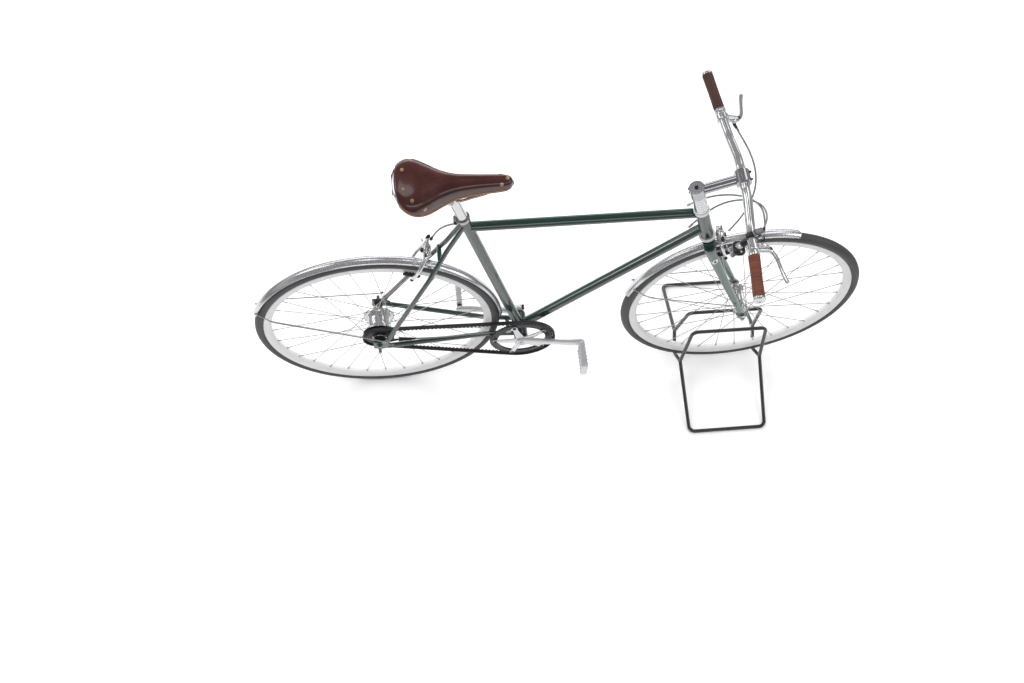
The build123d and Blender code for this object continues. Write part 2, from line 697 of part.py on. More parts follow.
# ---------------------------------------------------------------- seat clamp, post and saddle
POST_TOP = SEAT_CLUSTER + SEAT_UP * 119
RAIL_Z = 957.0
RAIL_Y = 22.0
RAIL_RADIUS = 3.5

with BuildPart() as seat_clamp:
    add(ring(SEAT_TUBE_TOP + SEAT_UP * 0.05, SEAT_TUBE_TOP + SEAT_UP * 9, 17.5, SEATPOST_RADIUS + 0.04))
    ear = SEAT_TUBE_TOP + SEAT_UP * 4.5 + Vector(-20, 0, -5)
    add(rod(ear - SIDEWAYS * 9, ear + SIDEWAYS * 9, 4.2))
write(seat_clamp.part, "seat_clamp")

HEAD_CENTRE = Vector(POST_TOP.X, 0, RAIL_Z)
rail_route = [
    Vector(-196, 7, 980), Vector(-231, 16.5, 970.5), Vector(-262, 21, 965.5),
    Vector(-282, RAIL_Y, RAIL_Z), Vector(-345, RAIL_Y, RAIL_Z), Vector(-382, 30, 966),
    Vector(-416, 44, 981),
]
rail_radii = [60, 40, 30, 40, 30]
left_rail = bent_rod(rail_route, RAIL_RADIUS, rail_radii)
right_rail = bent_rod([mirrored(p) for p in rail_route], RAIL_RADIUS, rail_radii)

with BuildPart() as seatpost:
    add(rod(POST_LOW, POST_TOP, SEATPOST_RADIUS))
    add(rod(HEAD_CENTRE - SIDEWAYS * 27, HEAD_CENTRE + SIDEWAYS * 27, 11.5))
    for side in (-1, 1):
        groove = HEAD_CENTRE + SIDEWAYS * side * RAIL_Y
        add(rod(groove - Vector(30, 0, 0), groove + Vector(30, 0, 0), RAIL_RADIUS + 0.05), mode=Mode.SUBTRACT)
write(seatpost.part, "seatpost")

with BuildPart() as saddle_frame:
    add(left_rail)
    add(right_rail)
    for post, half, radius in ((rail_route[-1], 46, 4.5), (rail_route[0], 10, 5)):
        add(rod(Vector(post.X, -half, post.Z), Vector(post.X, half, post.Z), radius))
write(saddle_frame.part, "saddle_frame")

LEATHER = 5.0
# distance back from the nose, half width, drop of the top line, depth of the skirt
SADDLE_SECTIONS = [
    (0, 10, 23, 20), (20, 16.5, 16, 29), (80, 20.5, 13, 36), (130, 27, 12, 42), (165, 41, 9, 51),
    (195, 60, 5, 53), (222, 73, 1, 46), (245, 71, 0, 35), (262, 57, 1, 26), (273, 38, 3, 17),
]
SADDLE_NOSE_X = -165.0


def saddle_loft(inset):
    """The saddle's outside, or the hollow beneath it when inset by the leather's thickness."""
    with BuildPart() as piece:
        for back, half_width, drop, skirt in SADDLE_SECTIONS:
            width = half_width - inset
            crown = SADDLE_TOP_Z - drop - inset
            low = SADDLE_TOP_Z - drop - skirt - (1 if inset else 0)
            height = crown - low
            outline = [
                (width, low), (0.9 * width, low + 0.66 * height), (0.5 * width, crown - 0.08 * height),
                (0, crown), (-0.5 * width, crown - 0.08 * height), (-0.9 * width, low + 0.66 * height),
                (-width, low),
            ]
            with BuildSketch(Plane(origin=(SADDLE_NOSE_X - back, 0, 0), x_dir=(0, 1, 0), z_dir=(1, 0, 0))):
                with BuildLine():
                    Spline(*outline)
                    Line((-width, low), (width, low))
                make_face()
        loft()
    return piece.part


with BuildPart() as saddle:
    add(saddle_loft(0))
    add(saddle_loft(LEATHER), mode=Mode.SUBTRACT)
write(saddle.part, "saddle")

# ---------------------------------------------------------------- hubs' axle, drive and cranks
with BuildPart() as rear_axle:
    add(wheel_axle(REAR_AXLE, 56, DROPOUT_Y - HALF_PLATE, 98, 15))
    add(rod(REAR_AXLE + SIDEWAYS * 40, REAR_AXLE + SIDEWAYS * 64, 12))
write(rear_axle.part, "rear_axle")

ring_pitch_radius = RING_TEETH * BELT_PITCH / (2 * pi)
sprocket_pitch_radius = SPROCKET_TEETH * BELT_PITCH / (2 * pi)
BELT_WIDTH = 11.0
BELT_OUTSIDE = 1.9  # the belt's back, outside the pitch line
BELT_INSIDE = 4.2  # the tips of its teeth, inside the pitch line
TOOTH_GAP = 0.6  # the plain discs stay this far inside the teeth


def belt_outline(offset):
    """Two arcs round the ring and the sprocket, joined by their outer tangents."""
    centre_a = Vector(BB_CENTRE.X, BB_CENTRE.Z)
    centre_b = Vector(REAR_AXLE.X, REAR_AXLE.Z)
    radius_a = ring_pitch_radius + offset
    radius_b = sprocket_pitch_radius + offset
    run = centre_b - centre_a
    base = atan2(run.Y, run.X)
    spread = radians(90) - atan2(radius_a - radius_b, sqrt(run.length**2 - (radius_a - radius_b) ** 2))
    points = []
    for centre, radius in ((centre_a, radius_a), (centre_b, radius_b)):
        for sign in (-1, 1):
            angle = base + sign * spread
            points.append((centre.X + radius * cos(angle), centre.Y + radius * sin(angle)))
    front = (centre_a.X - radius_a * cos(base), centre_a.Y - radius_a * sin(base))
    back = (centre_b.X + radius_b * cos(base), centre_b.Y + radius_b * sin(base))
    return points, front, back


def belt_face(offset):
    points, front, back = belt_outline(offset)
    with BuildSketch() as face:
        with BuildLine():
            ThreePointArc(points[0], front, points[1])
            Line(points[1], points[3])
            ThreePointArc(points[3], back, points[2])
            Line(points[2], points[0])
        make_face()
    return face.sketch


with BuildPart() as drive_belt:
    with BuildSketch(side_plane(Vector(0, BELT_Y + BELT_WIDTH / 2, 0))):
        add(belt_face(BELT_OUTSIDE))
        add(belt_face(-BELT_INSIDE), mode=Mode.SUBTRACT)
    extrude(amount=BELT_WIDTH)
write(drive_belt.part, "drive_belt")

RING_BOLT_CIRCLE = 76.0
RING_PLATE = 4.0
with BuildPart() as belt_ring:
    with BuildSketch(side_plane(BB_CENTRE + Vector(0, BELT_Y + RING_PLATE / 2, 0))):
        Circle(ring_pitch_radius - BELT_INSIDE - TOOTH_GAP)
        Circle(RING_BOLT_CIRCLE - 7, mode=Mode.SUBTRACT)
    extrude(amount=RING_PLATE)
write(belt_ring.part, "belt_ring")

SPROCKET_PLATE = 6.0
DRIVER_RADIUS = 17.0
sprocket_left = REAR_AXLE + SIDEWAYS * (BELT_Y + SPROCKET_PLATE / 2)
sprocket_right = REAR_AXLE + SIDEWAYS * (BELT_Y - SPROCKET_PLATE / 2)
with BuildPart() as rear_sprocket:
    add(rod(sprocket_left, sprocket_right, sprocket_pitch_radius - BELT_INSIDE - TOOTH_GAP))
    add(rod(REAR_AXLE - SIDEWAYS * 40, REAR_AXLE - SIDEWAYS * 55, DRIVER_RADIUS))
    add(rod(REAR_AXLE, REAR_AXLE - SIDEWAYS * 60, AXLE_RADIUS + AXLE_CLEARANCE), mode=Mode.SUBTRACT)
write(rear_sprocket.part, "rear_sprocket")

SPINDLE_HALF = 51.0
CUP_OUTER = 19.5
with BuildPart() as bottom_bracket_cups:
    for side in (-1, 1):
        near = BB_CENTRE + SIDEWAYS * side * (BB_SHELL_HALF + 0.05)
        far = BB_CENTRE + SIDEWAYS * side * (BB_SHELL_HALF + 6)
        add(ring(near, far, CUP_OUTER, SPINDLE_RADIUS + 0.08))
write(bottom_bracket_cups.part, "bottom_bracket_cups")

ARM_AT_SPINDLE = (44.0, 59.0)  # inner and outer distance from the middle plane
ARM_AT_PEDAL = (59.0, 74.0)
PEDAL_INNER = 80.0
PEDAL_OUTER = 160.0
PEDAL_PIN_RADIUS = 5.0


def crank_arm(side):
    """An arm with its pedal pin; the right one points forward and the left one backward."""
    forward = -side
    pedal = BB_CENTRE + Vector(forward * CRANK_LENGTH, 0, 0)
    flat = Plane(origin=BB_CENTRE, x_dir=(forward, 0, 0), z_dir=(0, side, 0))
    with BuildPart() as arm:
        with BuildSketch(flat.offset(ARM_AT_SPINDLE[0] - 5)):
            with BuildLine():
                Polyline((0, 17), (CRANK_LENGTH, 12.5), (CRANK_LENGTH, -12.5), (0, -17), (0, 17))
            make_face()
            Circle(17)
            with Locations((CRANK_LENGTH, 0)):
                Circle(12.5)
        extrude(amount=50)
        # seen from above, a distance to the side is minus y here for both arms
        with BuildSketch(Plane(origin=BB_CENTRE, x_dir=(forward, 0, 0), z_dir=UP)):
            inner_start, outer_start = (-y for y in ARM_AT_SPINDLE)
            inner_end, outer_end = (-y for y in ARM_AT_PEDAL)
            with BuildLine():
                Polyline(
                    (-20, inner_start), (20, inner_start), (CRANK_LENGTH - 30, inner_end),
                    (CRANK_LENGTH + 20, inner_end), (CRANK_LENGTH + 20, outer_end),
                    (CRANK_LENGTH - 30, outer_end), (20, outer_start), (-20, outer_start), (-20, inner_start),
                )
            make_face()
        extrude(amount=20, both=True, mode=Mode.INTERSECT)
        if side < 0:
            with BuildSketch(flat.offset(ARM_AT_SPINDLE[0] + 0.1)):
                Circle(24)
                with PolarLocations(RING_BOLT_CIRCLE / 2, 5, start_angle=36):
                    Rectangle(RING_BOLT_CIRCLE + 14, 13)
            extrude(amount=6)
        pin_start = pedal + SIDEWAYS * side * (ARM_AT_PEDAL[0] + 2)
        add(rod(pin_start, pedal + SIDEWAYS * side * (PEDAL_OUTER - 2), PEDAL_PIN_RADIUS))
        spindle_end = BB_CENTRE + SIDEWAYS * side * (ARM_AT_SPINDLE[0] + 8.05)
        add(rod(BB_CENTRE, spindle_end, SPINDLE_RADIUS + TUBE_GAP), mode=Mode.SUBTRACT)
    return arm.part


write(crank_arm(-1), "right_crank")
write(crank_arm(1), "left_crank")
half_spindle = SIDEWAYS * SPINDLE_HALF
write(rod(BB_CENTRE - half_spindle, BB_CENTRE + half_spindle, SPINDLE_RADIUS), "crank_spindle")

PEDAL_HALF_LENGTH = 30.0
PEDAL_HALF_HEIGHT = 10.0


def pedal(side):
    """A barrel on the pin with a flat cage around it."""
    pin = BB_CENTRE + Vector(-side * CRANK_LENGTH, 0, 0)
    inner = pin + SIDEWAYS * side * PEDAL_INNER
    outer = pin + SIDEWAYS * side * PEDAL_OUTER
    width = PEDAL_OUTER - PEDAL_INNER
    middle = pin + SIDEWAYS * side * (PEDAL_INNER + width / 2)
    across = Plane(origin=middle, x_dir=SIDEWAYS, z_dir=(1, 0, 0))
    with BuildPart() as piece:
        with BuildSketch(across.offset(-PEDAL_HALF_HEIGHT)):
            RectangleRounded(width, 2 * PEDAL_HALF_LENGTH, 8)
            RectangleRounded(width - 6, 2 * PEDAL_HALF_LENGTH - 6, 5, mode=Mode.SUBTRACT)
        extrude(amount=2 * PEDAL_HALF_HEIGHT)
        add(rod(inner, outer, 9.5))
        with BuildSketch(across.offset(-3)):
            with GridLocations(50, 0, 2, 1):
                Rectangle(8, 2 * PEDAL_HALF_LENGTH - 2)
        extrude(amount=6)
        bore_start = inner - SIDEWAYS * side * 4
        bore_end = outer - SIDEWAYS * side * 1.9
        add(rod(bore_start, bore_end, PEDAL_PIN_RADIUS + 0.05), mode=Mode.SUBTRACT)
    return piece.part


write(pedal(-1), "right_pedal")
write(pedal(1), "left_pedal")

# ---------------------------------------------------------------- display stand
STAND_TUBE = 5.5
STAND_FLOOR_Y = 260.0
STAND_CORNER_X = 118.0
STAND_BEND = Vector(126, 54, 78)
STAND_HOOP_TOP = Vector(112, 33, 228)
LINK_LOW_Z = 27.0


def stand_half(front, side):
    """Half of one loop: from the middle of its floor bar to the middle of its hoop's top bar."""
    x = FRONT_AXLE.X
    points = [
        Vector(x, side * STAND_FLOOR_Y, STAND_TUBE),
        Vector(x + front * STAND_CORNER_X, side * STAND_FLOOR_Y, STAND_TUBE),
        Vector(x + front * STAND_BEND.X, side * STAND_BEND.Y, STAND_BEND.Z),
        Vector(x + front * STAND_HOOP_TOP.X, side * STAND_HOOP_TOP.Y, STAND_HOOP_TOP.Z),
        Vector(x, side * STAND_HOOP_TOP.Y, STAND_HOOP_TOP.Z),
    ]
    return bent_rod(points, STAND_TUBE, [18, 12, 18])


with BuildPart() as display_stand:
    for front in (-1, 1):
        for side in (-1, 1):
            add(stand_half(front, side))
        x = FRONT_AXLE.X + front * STAND_BEND.X
        link_end = Vector(x, STAND_BEND.Y, STAND_BEND.Z)
        add(bent_rod([mirrored(link_end), Vector(x, 0, LINK_LOW_Z), link_end], STAND_TUBE, 15))
write(display_stand.part, "display_stand")

# ---------------------------------------------------------------- shift mechanism and cables
CABLE_RADIUS = 2.3
with BuildPart() as shift_mechanism:
    by_dropout = REAR_AXLE - SIDEWAYS * (DROPOUT_Y - HALF_PLATE - 0.1)
    add(ring(REAR_AXLE - SIDEWAYS * 57, by_dropout, 18, 9.1))
    add(rod(REAR_AXLE + Vector(13, -60, 4), REAR_AXLE + Vector(52, -53, 2), 3))
write(shift_mechanism.part, "shift_mechanism")

front_brake_route = [
    Vector(400, 171, 942), Vector(414, 141, 934), Vector(433, 103, 918), Vector(446, 66, 894),
    Vector(448, 34, 858), Vector(436, 14, 806), Vector(420, 6, 758), Vector(409, 9, 716),
]
write(cable(front_brake_route, CABLE_RADIUS, "front_brake_cable"), "front_brake_cable")

rear_brake_front = [
    Vector(400, -171, 942), Vector(413, -140, 938), Vector(422, -104, 934), Vector(428, -66, 922),
    Vector(418, -30, 908), Vector(394, 2, 884), Vector(358, 24, 858), Vector(318, 30, 838),
    Vector(280, 18, 829),
]
shift_front = [
    Vector(402.8, -146.4, 946), Vector(420, -122, 944), Vector(431, -86, 936), Vector(428, -48, 918),
    Vector(408, -14, 888), Vector(380, 12, 846), Vector(356, 28, 800), Vector(330, 28, 762),
    Vector(302, 15.5, 735),
]
rear_brake_cable_front = cable(rear_brake_front, CABLE_RADIUS, "rear_brake_cable_front")
shift_cable_front = cable(shift_front, CABLE_RADIUS, "shift_cable_front")
write(Compound(children=[rear_brake_cable_front, shift_cable_front]), "steering_cables")

rear_brake_back = [
    Vector(-293, 2, 828), Vector(-314, 1, 827), Vector(-334, 2, 812), Vector(-346, 8, 786),
    Vector(-353, 16, 758), Vector(-359, 22, 734),
]
shift_back = [
    Vector(-146, -27, 299), Vector(-190, -30.5, 304), Vector(-250, -34.5, 312),
    Vector(-340, -46, 326), Vector(-410, -51, 338), Vector(-464, -53, 344),
]
rear_brake_cable_back = cable(rear_brake_back, CABLE_RADIUS, "rear_brake_cable_back")
shift_cable_back = cable(shift_back, CABLE_RADIUS, "shift_cable_back")
write(Compound(children=[rear_brake_cable_back, shift_cable_back]), "frame_cables")
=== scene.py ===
import math

import bmesh
import bpy
import numpy as np
from mathutils import Matrix, Vector


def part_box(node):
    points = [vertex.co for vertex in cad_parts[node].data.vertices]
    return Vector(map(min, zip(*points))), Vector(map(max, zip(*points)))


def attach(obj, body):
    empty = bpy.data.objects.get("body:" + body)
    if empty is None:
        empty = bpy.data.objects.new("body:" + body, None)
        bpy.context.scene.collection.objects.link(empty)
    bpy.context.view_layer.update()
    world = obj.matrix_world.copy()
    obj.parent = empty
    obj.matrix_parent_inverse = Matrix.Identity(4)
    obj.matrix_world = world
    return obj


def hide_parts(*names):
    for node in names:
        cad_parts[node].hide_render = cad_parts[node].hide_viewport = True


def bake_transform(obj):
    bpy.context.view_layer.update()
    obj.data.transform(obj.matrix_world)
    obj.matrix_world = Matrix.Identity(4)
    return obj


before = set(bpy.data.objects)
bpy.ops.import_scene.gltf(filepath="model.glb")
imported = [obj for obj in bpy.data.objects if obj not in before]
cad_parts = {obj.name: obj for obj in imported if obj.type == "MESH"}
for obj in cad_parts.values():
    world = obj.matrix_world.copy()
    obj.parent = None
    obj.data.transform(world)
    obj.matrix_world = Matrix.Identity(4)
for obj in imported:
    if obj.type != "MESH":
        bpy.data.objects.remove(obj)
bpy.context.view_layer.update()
mm = 0.001  # sizes and profiles given to the functions are in millimetres, and places are in metres
steep = 0.9  # a direction counts as upright above this share of Z


# directions, curves and meshes
def vec(*values):
    # the values as one row of decimals
    return np.array(values, float)


def spots(*points):
    # places given in millimetres, turned to metres
    return np.array(points, float) * mm


def unit(v):
    # each direction divided by its own length
    v = np.asarray(v, float)
    return v / np.linalg.norm(v, axis=-1, keepdims=True)


def across(axis):
    # two directions square to the axis and to each other, by cross products
    axis = unit(axis)
    other = vec(0, 0, 1) if abs(axis[2]) < steep else vec(1, 0, 0)
    first = unit(np.cross(other, axis))
    return first, np.cross(axis, first)


def centreOf(node):
    # halfway between the two corners of a part's box
    low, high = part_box(node)
    return (np.array(low) + np.array(high)) / 2


def curveThrough(points, count):
    # a smooth cubic through every point: each span is the Catmull-Rom blend of its four neighbours
    p = np.asarray(points, float)
    p = np.vstack([2 * p[0] - p[1], p, 2 * p[-1] - p[-2]])
    t = np.linspace(0, len(p) - 3 - 1e-9, count)
    i = t.astype(int)
    f = (t - i)[:, None]
    a, b, c, d = p[i], p[i + 1], p[i + 2], p[i + 3]
    return 0.5 * (2 * b + (c - a) * f + (2 * a - 5 * b + 4 * c - d) * f**2 + (3 * b - 3 * c + d - a) * f**3)


def route(points, count):
    # the same curve through places given in millimetres
    return curveThrough(spots(*points), count)


def ramp(value, start, over):
    # 0 up to the start, then rising evenly to 1
    return np.clip((value - start) / over, 0, 1)


def rounded(fromEnd, reach):
    # 0 at an end and 1 from the reach on, rising along a quarter circle
    return np.sqrt(np.clip(1 - (np.clip(reach - fromEnd, 0, reach) / reach) ** 2, 0, 1))


def gridFaces(rows, cols, wrapRows, wrapCols):
    # quads between neighbours of a rows by cols grid, joined round where it wraps
    i = np.arange(rows if wrapRows else rows - 1)[:, None]
    j = np.arange(cols if wrapCols else cols - 1)[None, :]
    k, m = (i + 1) % rows, (j + 1) % cols
    quads = np.stack([i * cols + j, i * cols + m, k * cols + m, k * cols + j], axis=-1)
    return quads.reshape(-1, 4).tolist()


def skin(grid, wrapRows=False, wrapCols=True, lids=True, mark=0):
    # a surface over a grid of places, with a flat lid on each open end when asked
    rows, cols = grid.shape[:2]
    faces = gridFaces(rows, cols, wrapRows, wrapCols)
    if lids and not wrapRows:
        faces.append(list(range(cols)))
        faces.append(list(range((rows - 1) * cols, rows * cols)))
    return grid.reshape(-1, 3), faces, mark


def circle(axis, steps):
    # directions round an axis: cosine times one cross direction plus sine times the other
    angle = np.linspace(0, 2 * np.pi, steps, endpoint=False)
    first, second = across(axis)
    return np.cos(angle)[:, None] * first + np.sin(angle)[:, None] * second


def lathe(profile, centre, axis, steps=48, mark=0):
    # each (along, radius) pair turned round the axis, with a lid at both ends; radius 0 closes a pole
    profile = np.asarray(profile, float)[:, None] * mm
    grid = centre + profile[..., :1] * unit(axis) + profile[..., 1:] * circle(axis, steps)
    return skin(grid, mark=mark)


def ringLathe(profile, centre, axis, steps=48, mark=0):
    # a closed profile of (along, radius) pairs turned round the axis, as a ring
    profile = np.asarray(profile, float) * mm
    grid = centre + circle(axis, steps)[:, None] * profile[:, 1:] + unit(axis) * profile[:, :1]
    return skin(grid, wrapRows=True, mark=mark)


def rods(starts, ends, radius, sides=10):
    # one straight round rod for every pair of places, all in one surface
    starts, ends = np.atleast_2d(starts), np.atleast_2d(ends)
    run = unit(ends - starts)
    hint = np.where(np.abs(run[:, 2:3]) < steep, vec(0, 0, 1), vec(1, 0, 0))
    first = unit(np.cross(hint, run))
    second = np.cross(run, first)
    angle = np.linspace(0, 2 * np.pi, sides, endpoint=False)[None, :, None]
    ring = radius * mm * (np.cos(angle) * first[:, None, :] + np.sin(angle) * second[:, None, :])
    grid = np.stack([starts[:, None, :] + ring, ends[:, None, :] + ring], axis=1)
    one = gridFaces(2, sides, False, True) + [list(range(sides)), list(range(sides, 2 * sides))]
    faces = [[v + 2 * sides * k for v in f] for k in range(len(starts)) for f in one]
    return grid.reshape(-1, 3), faces, 0


def sweep(path, wide, tall, hint, ends=1.0, power=1.0, count=40, sides=20, mark=0):
    # a rounded bar along a path: half widths go across and along the hint, shared out evenly on the way,
    # and the ends close in a quarter circle; a power below 1 squares the section off
    path = np.asarray(path, float)
    ends = ends * mm
    steps = np.r_[0, np.cumsum(np.linalg.norm(np.diff(path, axis=0), axis=1))]
    total = steps[-1]
    tip = ends * (1 - np.cos(np.linspace(0, np.pi / 2, 6)))
    at = np.r_[tip[:-1], np.linspace(ends, total - ends, count), total - tip[:-1][::-1]]
    centre = np.stack([np.interp(at, steps, path[:, k]) for k in range(3)], axis=1)
    close = rounded(np.minimum(at, total - at), ends)
    halves = []
    for size in (np.atleast_1d(wide), np.atleast_1d(tall)):
        share = np.linspace(0, 1, len(size))
        halves.append(np.interp(at / total, share, size) * mm * close)
    run = unit(np.gradient(centre, at, axis=0))
    side = unit(np.cross(run, hint))
    up = np.cross(side, run)
    angle = np.linspace(0, 2 * np.pi, sides, endpoint=False)
    a, b = [np.sign(c) * np.abs(c) ** power for c in (np.cos(angle), np.sin(angle))]
    grid = centre[:, None, :] + (halves[0][:, None] * a)[:, :, None] * side[:, None, :]
    grid = grid + (halves[1][:, None] * b)[:, :, None] * up[:, None, :]
    return skin(grid, mark=mark)


def plate(outline, origin, xWay, yWay, thick, chamfer):
    # a flat outline given thickness both ways, its two edges drawn in towards its middle
    outline = np.asarray(outline, float)
    middle = outline.mean(axis=0)
    shrink = 1 - chamfer / np.linalg.norm(outline - middle, axis=1).mean()
    small = middle + (outline - middle) * shrink
    half = thick / 2
    rows = [(small, -half), (outline, chamfer - half), (outline, half - chamfer), (small, half)]
    normal = np.cross(xWay, yWay)
    layers = [origin + (p[:, :1] * xWay + p[:, 1:] * yWay + normal * h) * mm for p, h in rows]
    return skin(np.stack(layers))


boltSettings = {
    # shares of the head's height and radius, from its foot over the dome and down into the socket
    "dome": [(0, 1), (0.55, 1), (0.85, 0.86), (1, 0.66), (1, 0.52), (0.45, 0.52), (0.45, 0)],
    "steps": 24,
}


def boltHead(centre, axis, radius, height, mark=0):
    # a domed screw head with a round socket sunk in it, turned round the axis
    profile = np.array(boltSettings["dome"]) * (height, radius)
    return lathe(profile, centre, axis, boltSettings["steps"], mark)


def piece(name, chunks, materials, body, replaced=(), sharp=34):
    # joins the chunks in one mesh, closes poles, turns the normals outward and hangs it on its body
    offsets = np.cumsum([0] + [len(c[0]) for c in chunks])
    points = np.vstack([c[0] for c in chunks])
    faces = [[v + int(o) for v in f] for c, o in zip(chunks, offsets) for f in c[1]]
    marks = np.concatenate([np.full(len(c[1]), c[2]) for c in chunks])
    mesh = bpy.data.meshes.new(name)
    mesh.from_pydata(points.tolist(), [], faces)
    for material in materials:
        mesh.materials.append(material)
    mesh.polygons.foreach_set("material_index", marks.astype(np.int32))
    work = bmesh.new()
    work.from_mesh(mesh)
    bmesh.ops.remove_doubles(work, verts=work.verts, dist=2e-7)
    bmesh.ops.recalc_face_normals(work, faces=work.faces)
    work.to_mesh(mesh)
    work.free()
    mesh.polygons.foreach_set("use_smooth", np.ones(len(mesh.polygons), bool))
    mesh.set_sharp_from_angle(angle=math.radians(sharp))
    made = bpy.data.objects.new(name, mesh)
    bpy.context.scene.collection.objects.link(made)
    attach(made, body)
    if replaced:
        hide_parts(*replaced)


# materials
def newMaterial(name):
    # an empty material with its node tree and its shader
    material = bpy.data.materials.new(name)
    material.use_nodes = True
    tree = material.node_tree
    return material, tree, tree.nodes["Principled BSDF"]


def noiseValue(tree, place, scale, detail=3.0):
    # fractal noise read at a place
    node = tree.nodes.new("ShaderNodeTexNoise")
    node.inputs["Scale"].default_value = scale
    node.inputs["Detail"].default_value = detail
    tree.links.new(place, node.inputs["Vector"])
    return node.outputs["Fac"]


def spread(tree, source, low, high, start=0.3, end=0.7):
    # the source's span from start to end stretched evenly over low to high
    node = tree.nodes.new("ShaderNodeMapRange")
    node.inputs["From Min"].default_value = start
    node.inputs["From Max"].default_value = end
    node.inputs["To Min"].default_value = low
    node.inputs["To Max"].default_value = high
    tree.links.new(source, node.inputs["Value"])
    return node.outputs["Result"]


def combine(tree, operation, *sources):
    # one step of arithmetic on sockets and plain numbers
    node = tree.nodes.new("ShaderNodeMath")
    node.operation = operation
    for socket, source in zip(node.inputs, sources):
        if isinstance(source, float):
            socket.default_value = source
        else:
            tree.links.new(source, socket)
    return node.outputs["Value"]


colourSockets = {"first": 6, "second": 7, "result": 2}  # places of a Mix node's colour sockets


def blendColours(tree, factor, first, second):
    # first where the factor is 0, second where it is 1, and an even mix between
    node = tree.nodes.new("ShaderNodeMix")
    node.data_type = "RGBA"
    tree.links.new(factor, node.inputs["Factor"])
    for key, value in (("first", first), ("second", second)):
        socket = node.inputs[colourSockets[key]]
        if isinstance(value, tuple):
            socket.default_value = (*value, 1)
        else:
            tree.links.new(value, socket)
    return node.outputs[colourSockets["result"]]


def bumpFrom(tree, shader, height, strength, distance):
    # tilts the shading normal by the slope of a height, given its full rise in millimetres
    node = tree.nodes.new("ShaderNodeBump")
    node.inputs["Strength"].default_value = strength
    node.inputs["Distance"].default_value = distance * mm
    tree.links.new(height, node.inputs["Height"])
    tree.links.new(node.outputs["Normal"], shader.inputs["Normal"])


def setCoat(shader, weight, rough, ior=1.5):
    # a clear layer over the base
    shader.inputs["Coat Weight"].default_value = weight
    shader.inputs["Coat Roughness"].default_value = rough
    shader.inputs["Coat IOR"].default_value = ior


def finish(name, colour, second, metal, rough, roughSpread, patch, grain, bump, coat=0.0, coatIor=1.5,
           coatRough=0.06):
    # blotches change the colour, grain changes the roughness and lifts the surface a little
    material, tree, shader = newMaterial(name)
    place = tree.nodes.new("ShaderNodeTexCoord").outputs["Object"]
    blotches = spread(tree, noiseValue(tree, place, patch), 0, 1)
    tree.links.new(blendColours(tree, blotches, colour, second), shader.inputs["Base Color"])
    fine = noiseValue(tree, place, grain, 4)
    tree.links.new(spread(tree, fine, rough - roughSpread, rough + roughSpread), shader.inputs["Roughness"])
    shader.inputs["Metallic"].default_value = metal
    setCoat(shader, coat, coatRough, coatIor)
    bumpFrom(tree, shader, fine, bump, 0.15)
    return material


leatherSettings = {
    "dark": (0.034, 0.0055, 0.0042), "light": (0.06, 0.012, 0.0085), "patch": 22, "cell": 620, "pore": 1054,
    "smooth": 0.24, "worn": 0.4, "coat": 0.9, "coatRough": 0.12, "coatIor": 1.6, "bump": 0.1, "rise": 0.2,
}


def leatherFinish(name):
    # pebbled cells and fine pores over slow tonal patches, with a waxed coat
    s = leatherSettings
    material, tree, shader = newMaterial(name)
    place = tree.nodes.new("ShaderNodeTexCoord").outputs["Object"]
    patches = spread(tree, noiseValue(tree, place, s["patch"], 4), 0, 1)
    tree.links.new(blendColours(tree, patches, s["dark"], s["light"]), shader.inputs["Base Color"])
    cells = tree.nodes.new("ShaderNodeTexVoronoi")
    cells.inputs["Scale"].default_value = s["cell"]
    tree.links.new(place, cells.inputs["Vector"])
    pores = noiseValue(tree, place, s["pore"], 5)
    tree.links.new(spread(tree, pores, s["smooth"], s["worn"]), shader.inputs["Roughness"])
    setCoat(shader, s["coat"], s["coatRough"], s["coatIor"])
    bumpFrom(tree, shader, combine(tree, "ADD", cells.outputs["Distance"], pores), s["bump"], s["rise"])
    return material


stackSettings = {
    "pitch": 3.4, "grain": 900, "stain": (0.05, 0.02, 0.012), "stainShare": 0.35,
    "smooth": 0.42, "worn": 0.62, "coat": 0.2, "coatRough": 0.25, "bump": 0.3, "rise": 0.2,
}


def stackedLeather(name, dark, light):
    # every washer of the stack along Y takes its own tone from a white noise of its number
    s = stackSettings
    material, tree, shader = newMaterial(name)
    place = tree.nodes.new("ShaderNodeTexCoord").outputs["Object"]
    split = tree.nodes.new("ShaderNodeSeparateXYZ")
    tree.links.new(place, split.inputs["Vector"])
    number = combine(tree, "MULTIPLY", split.outputs["Y"], 1 / (s["pitch"] * mm))
    tone = tree.nodes.new("ShaderNodeTexWhiteNoise")
    tone.noise_dimensions = "1D"
    tree.links.new(combine(tree, "FLOOR", number), tone.inputs["W"])
    base = blendColours(tree, tone.outputs["Value"], dark, light)
    grain = noiseValue(tree, place, s["grain"], 5)
    stained = blendColours(tree, spread(tree, grain, 0, s["stainShare"]), base, s["stain"])
    tree.links.new(stained, shader.inputs["Base Color"])
    tree.links.new(spread(tree, grain, s["smooth"], s["worn"]), shader.inputs["Roughness"])
    setCoat(shader, s["coat"], s["coatRough"])
    bumpFrom(tree, shader, grain, s["bump"], s["rise"])
    return material


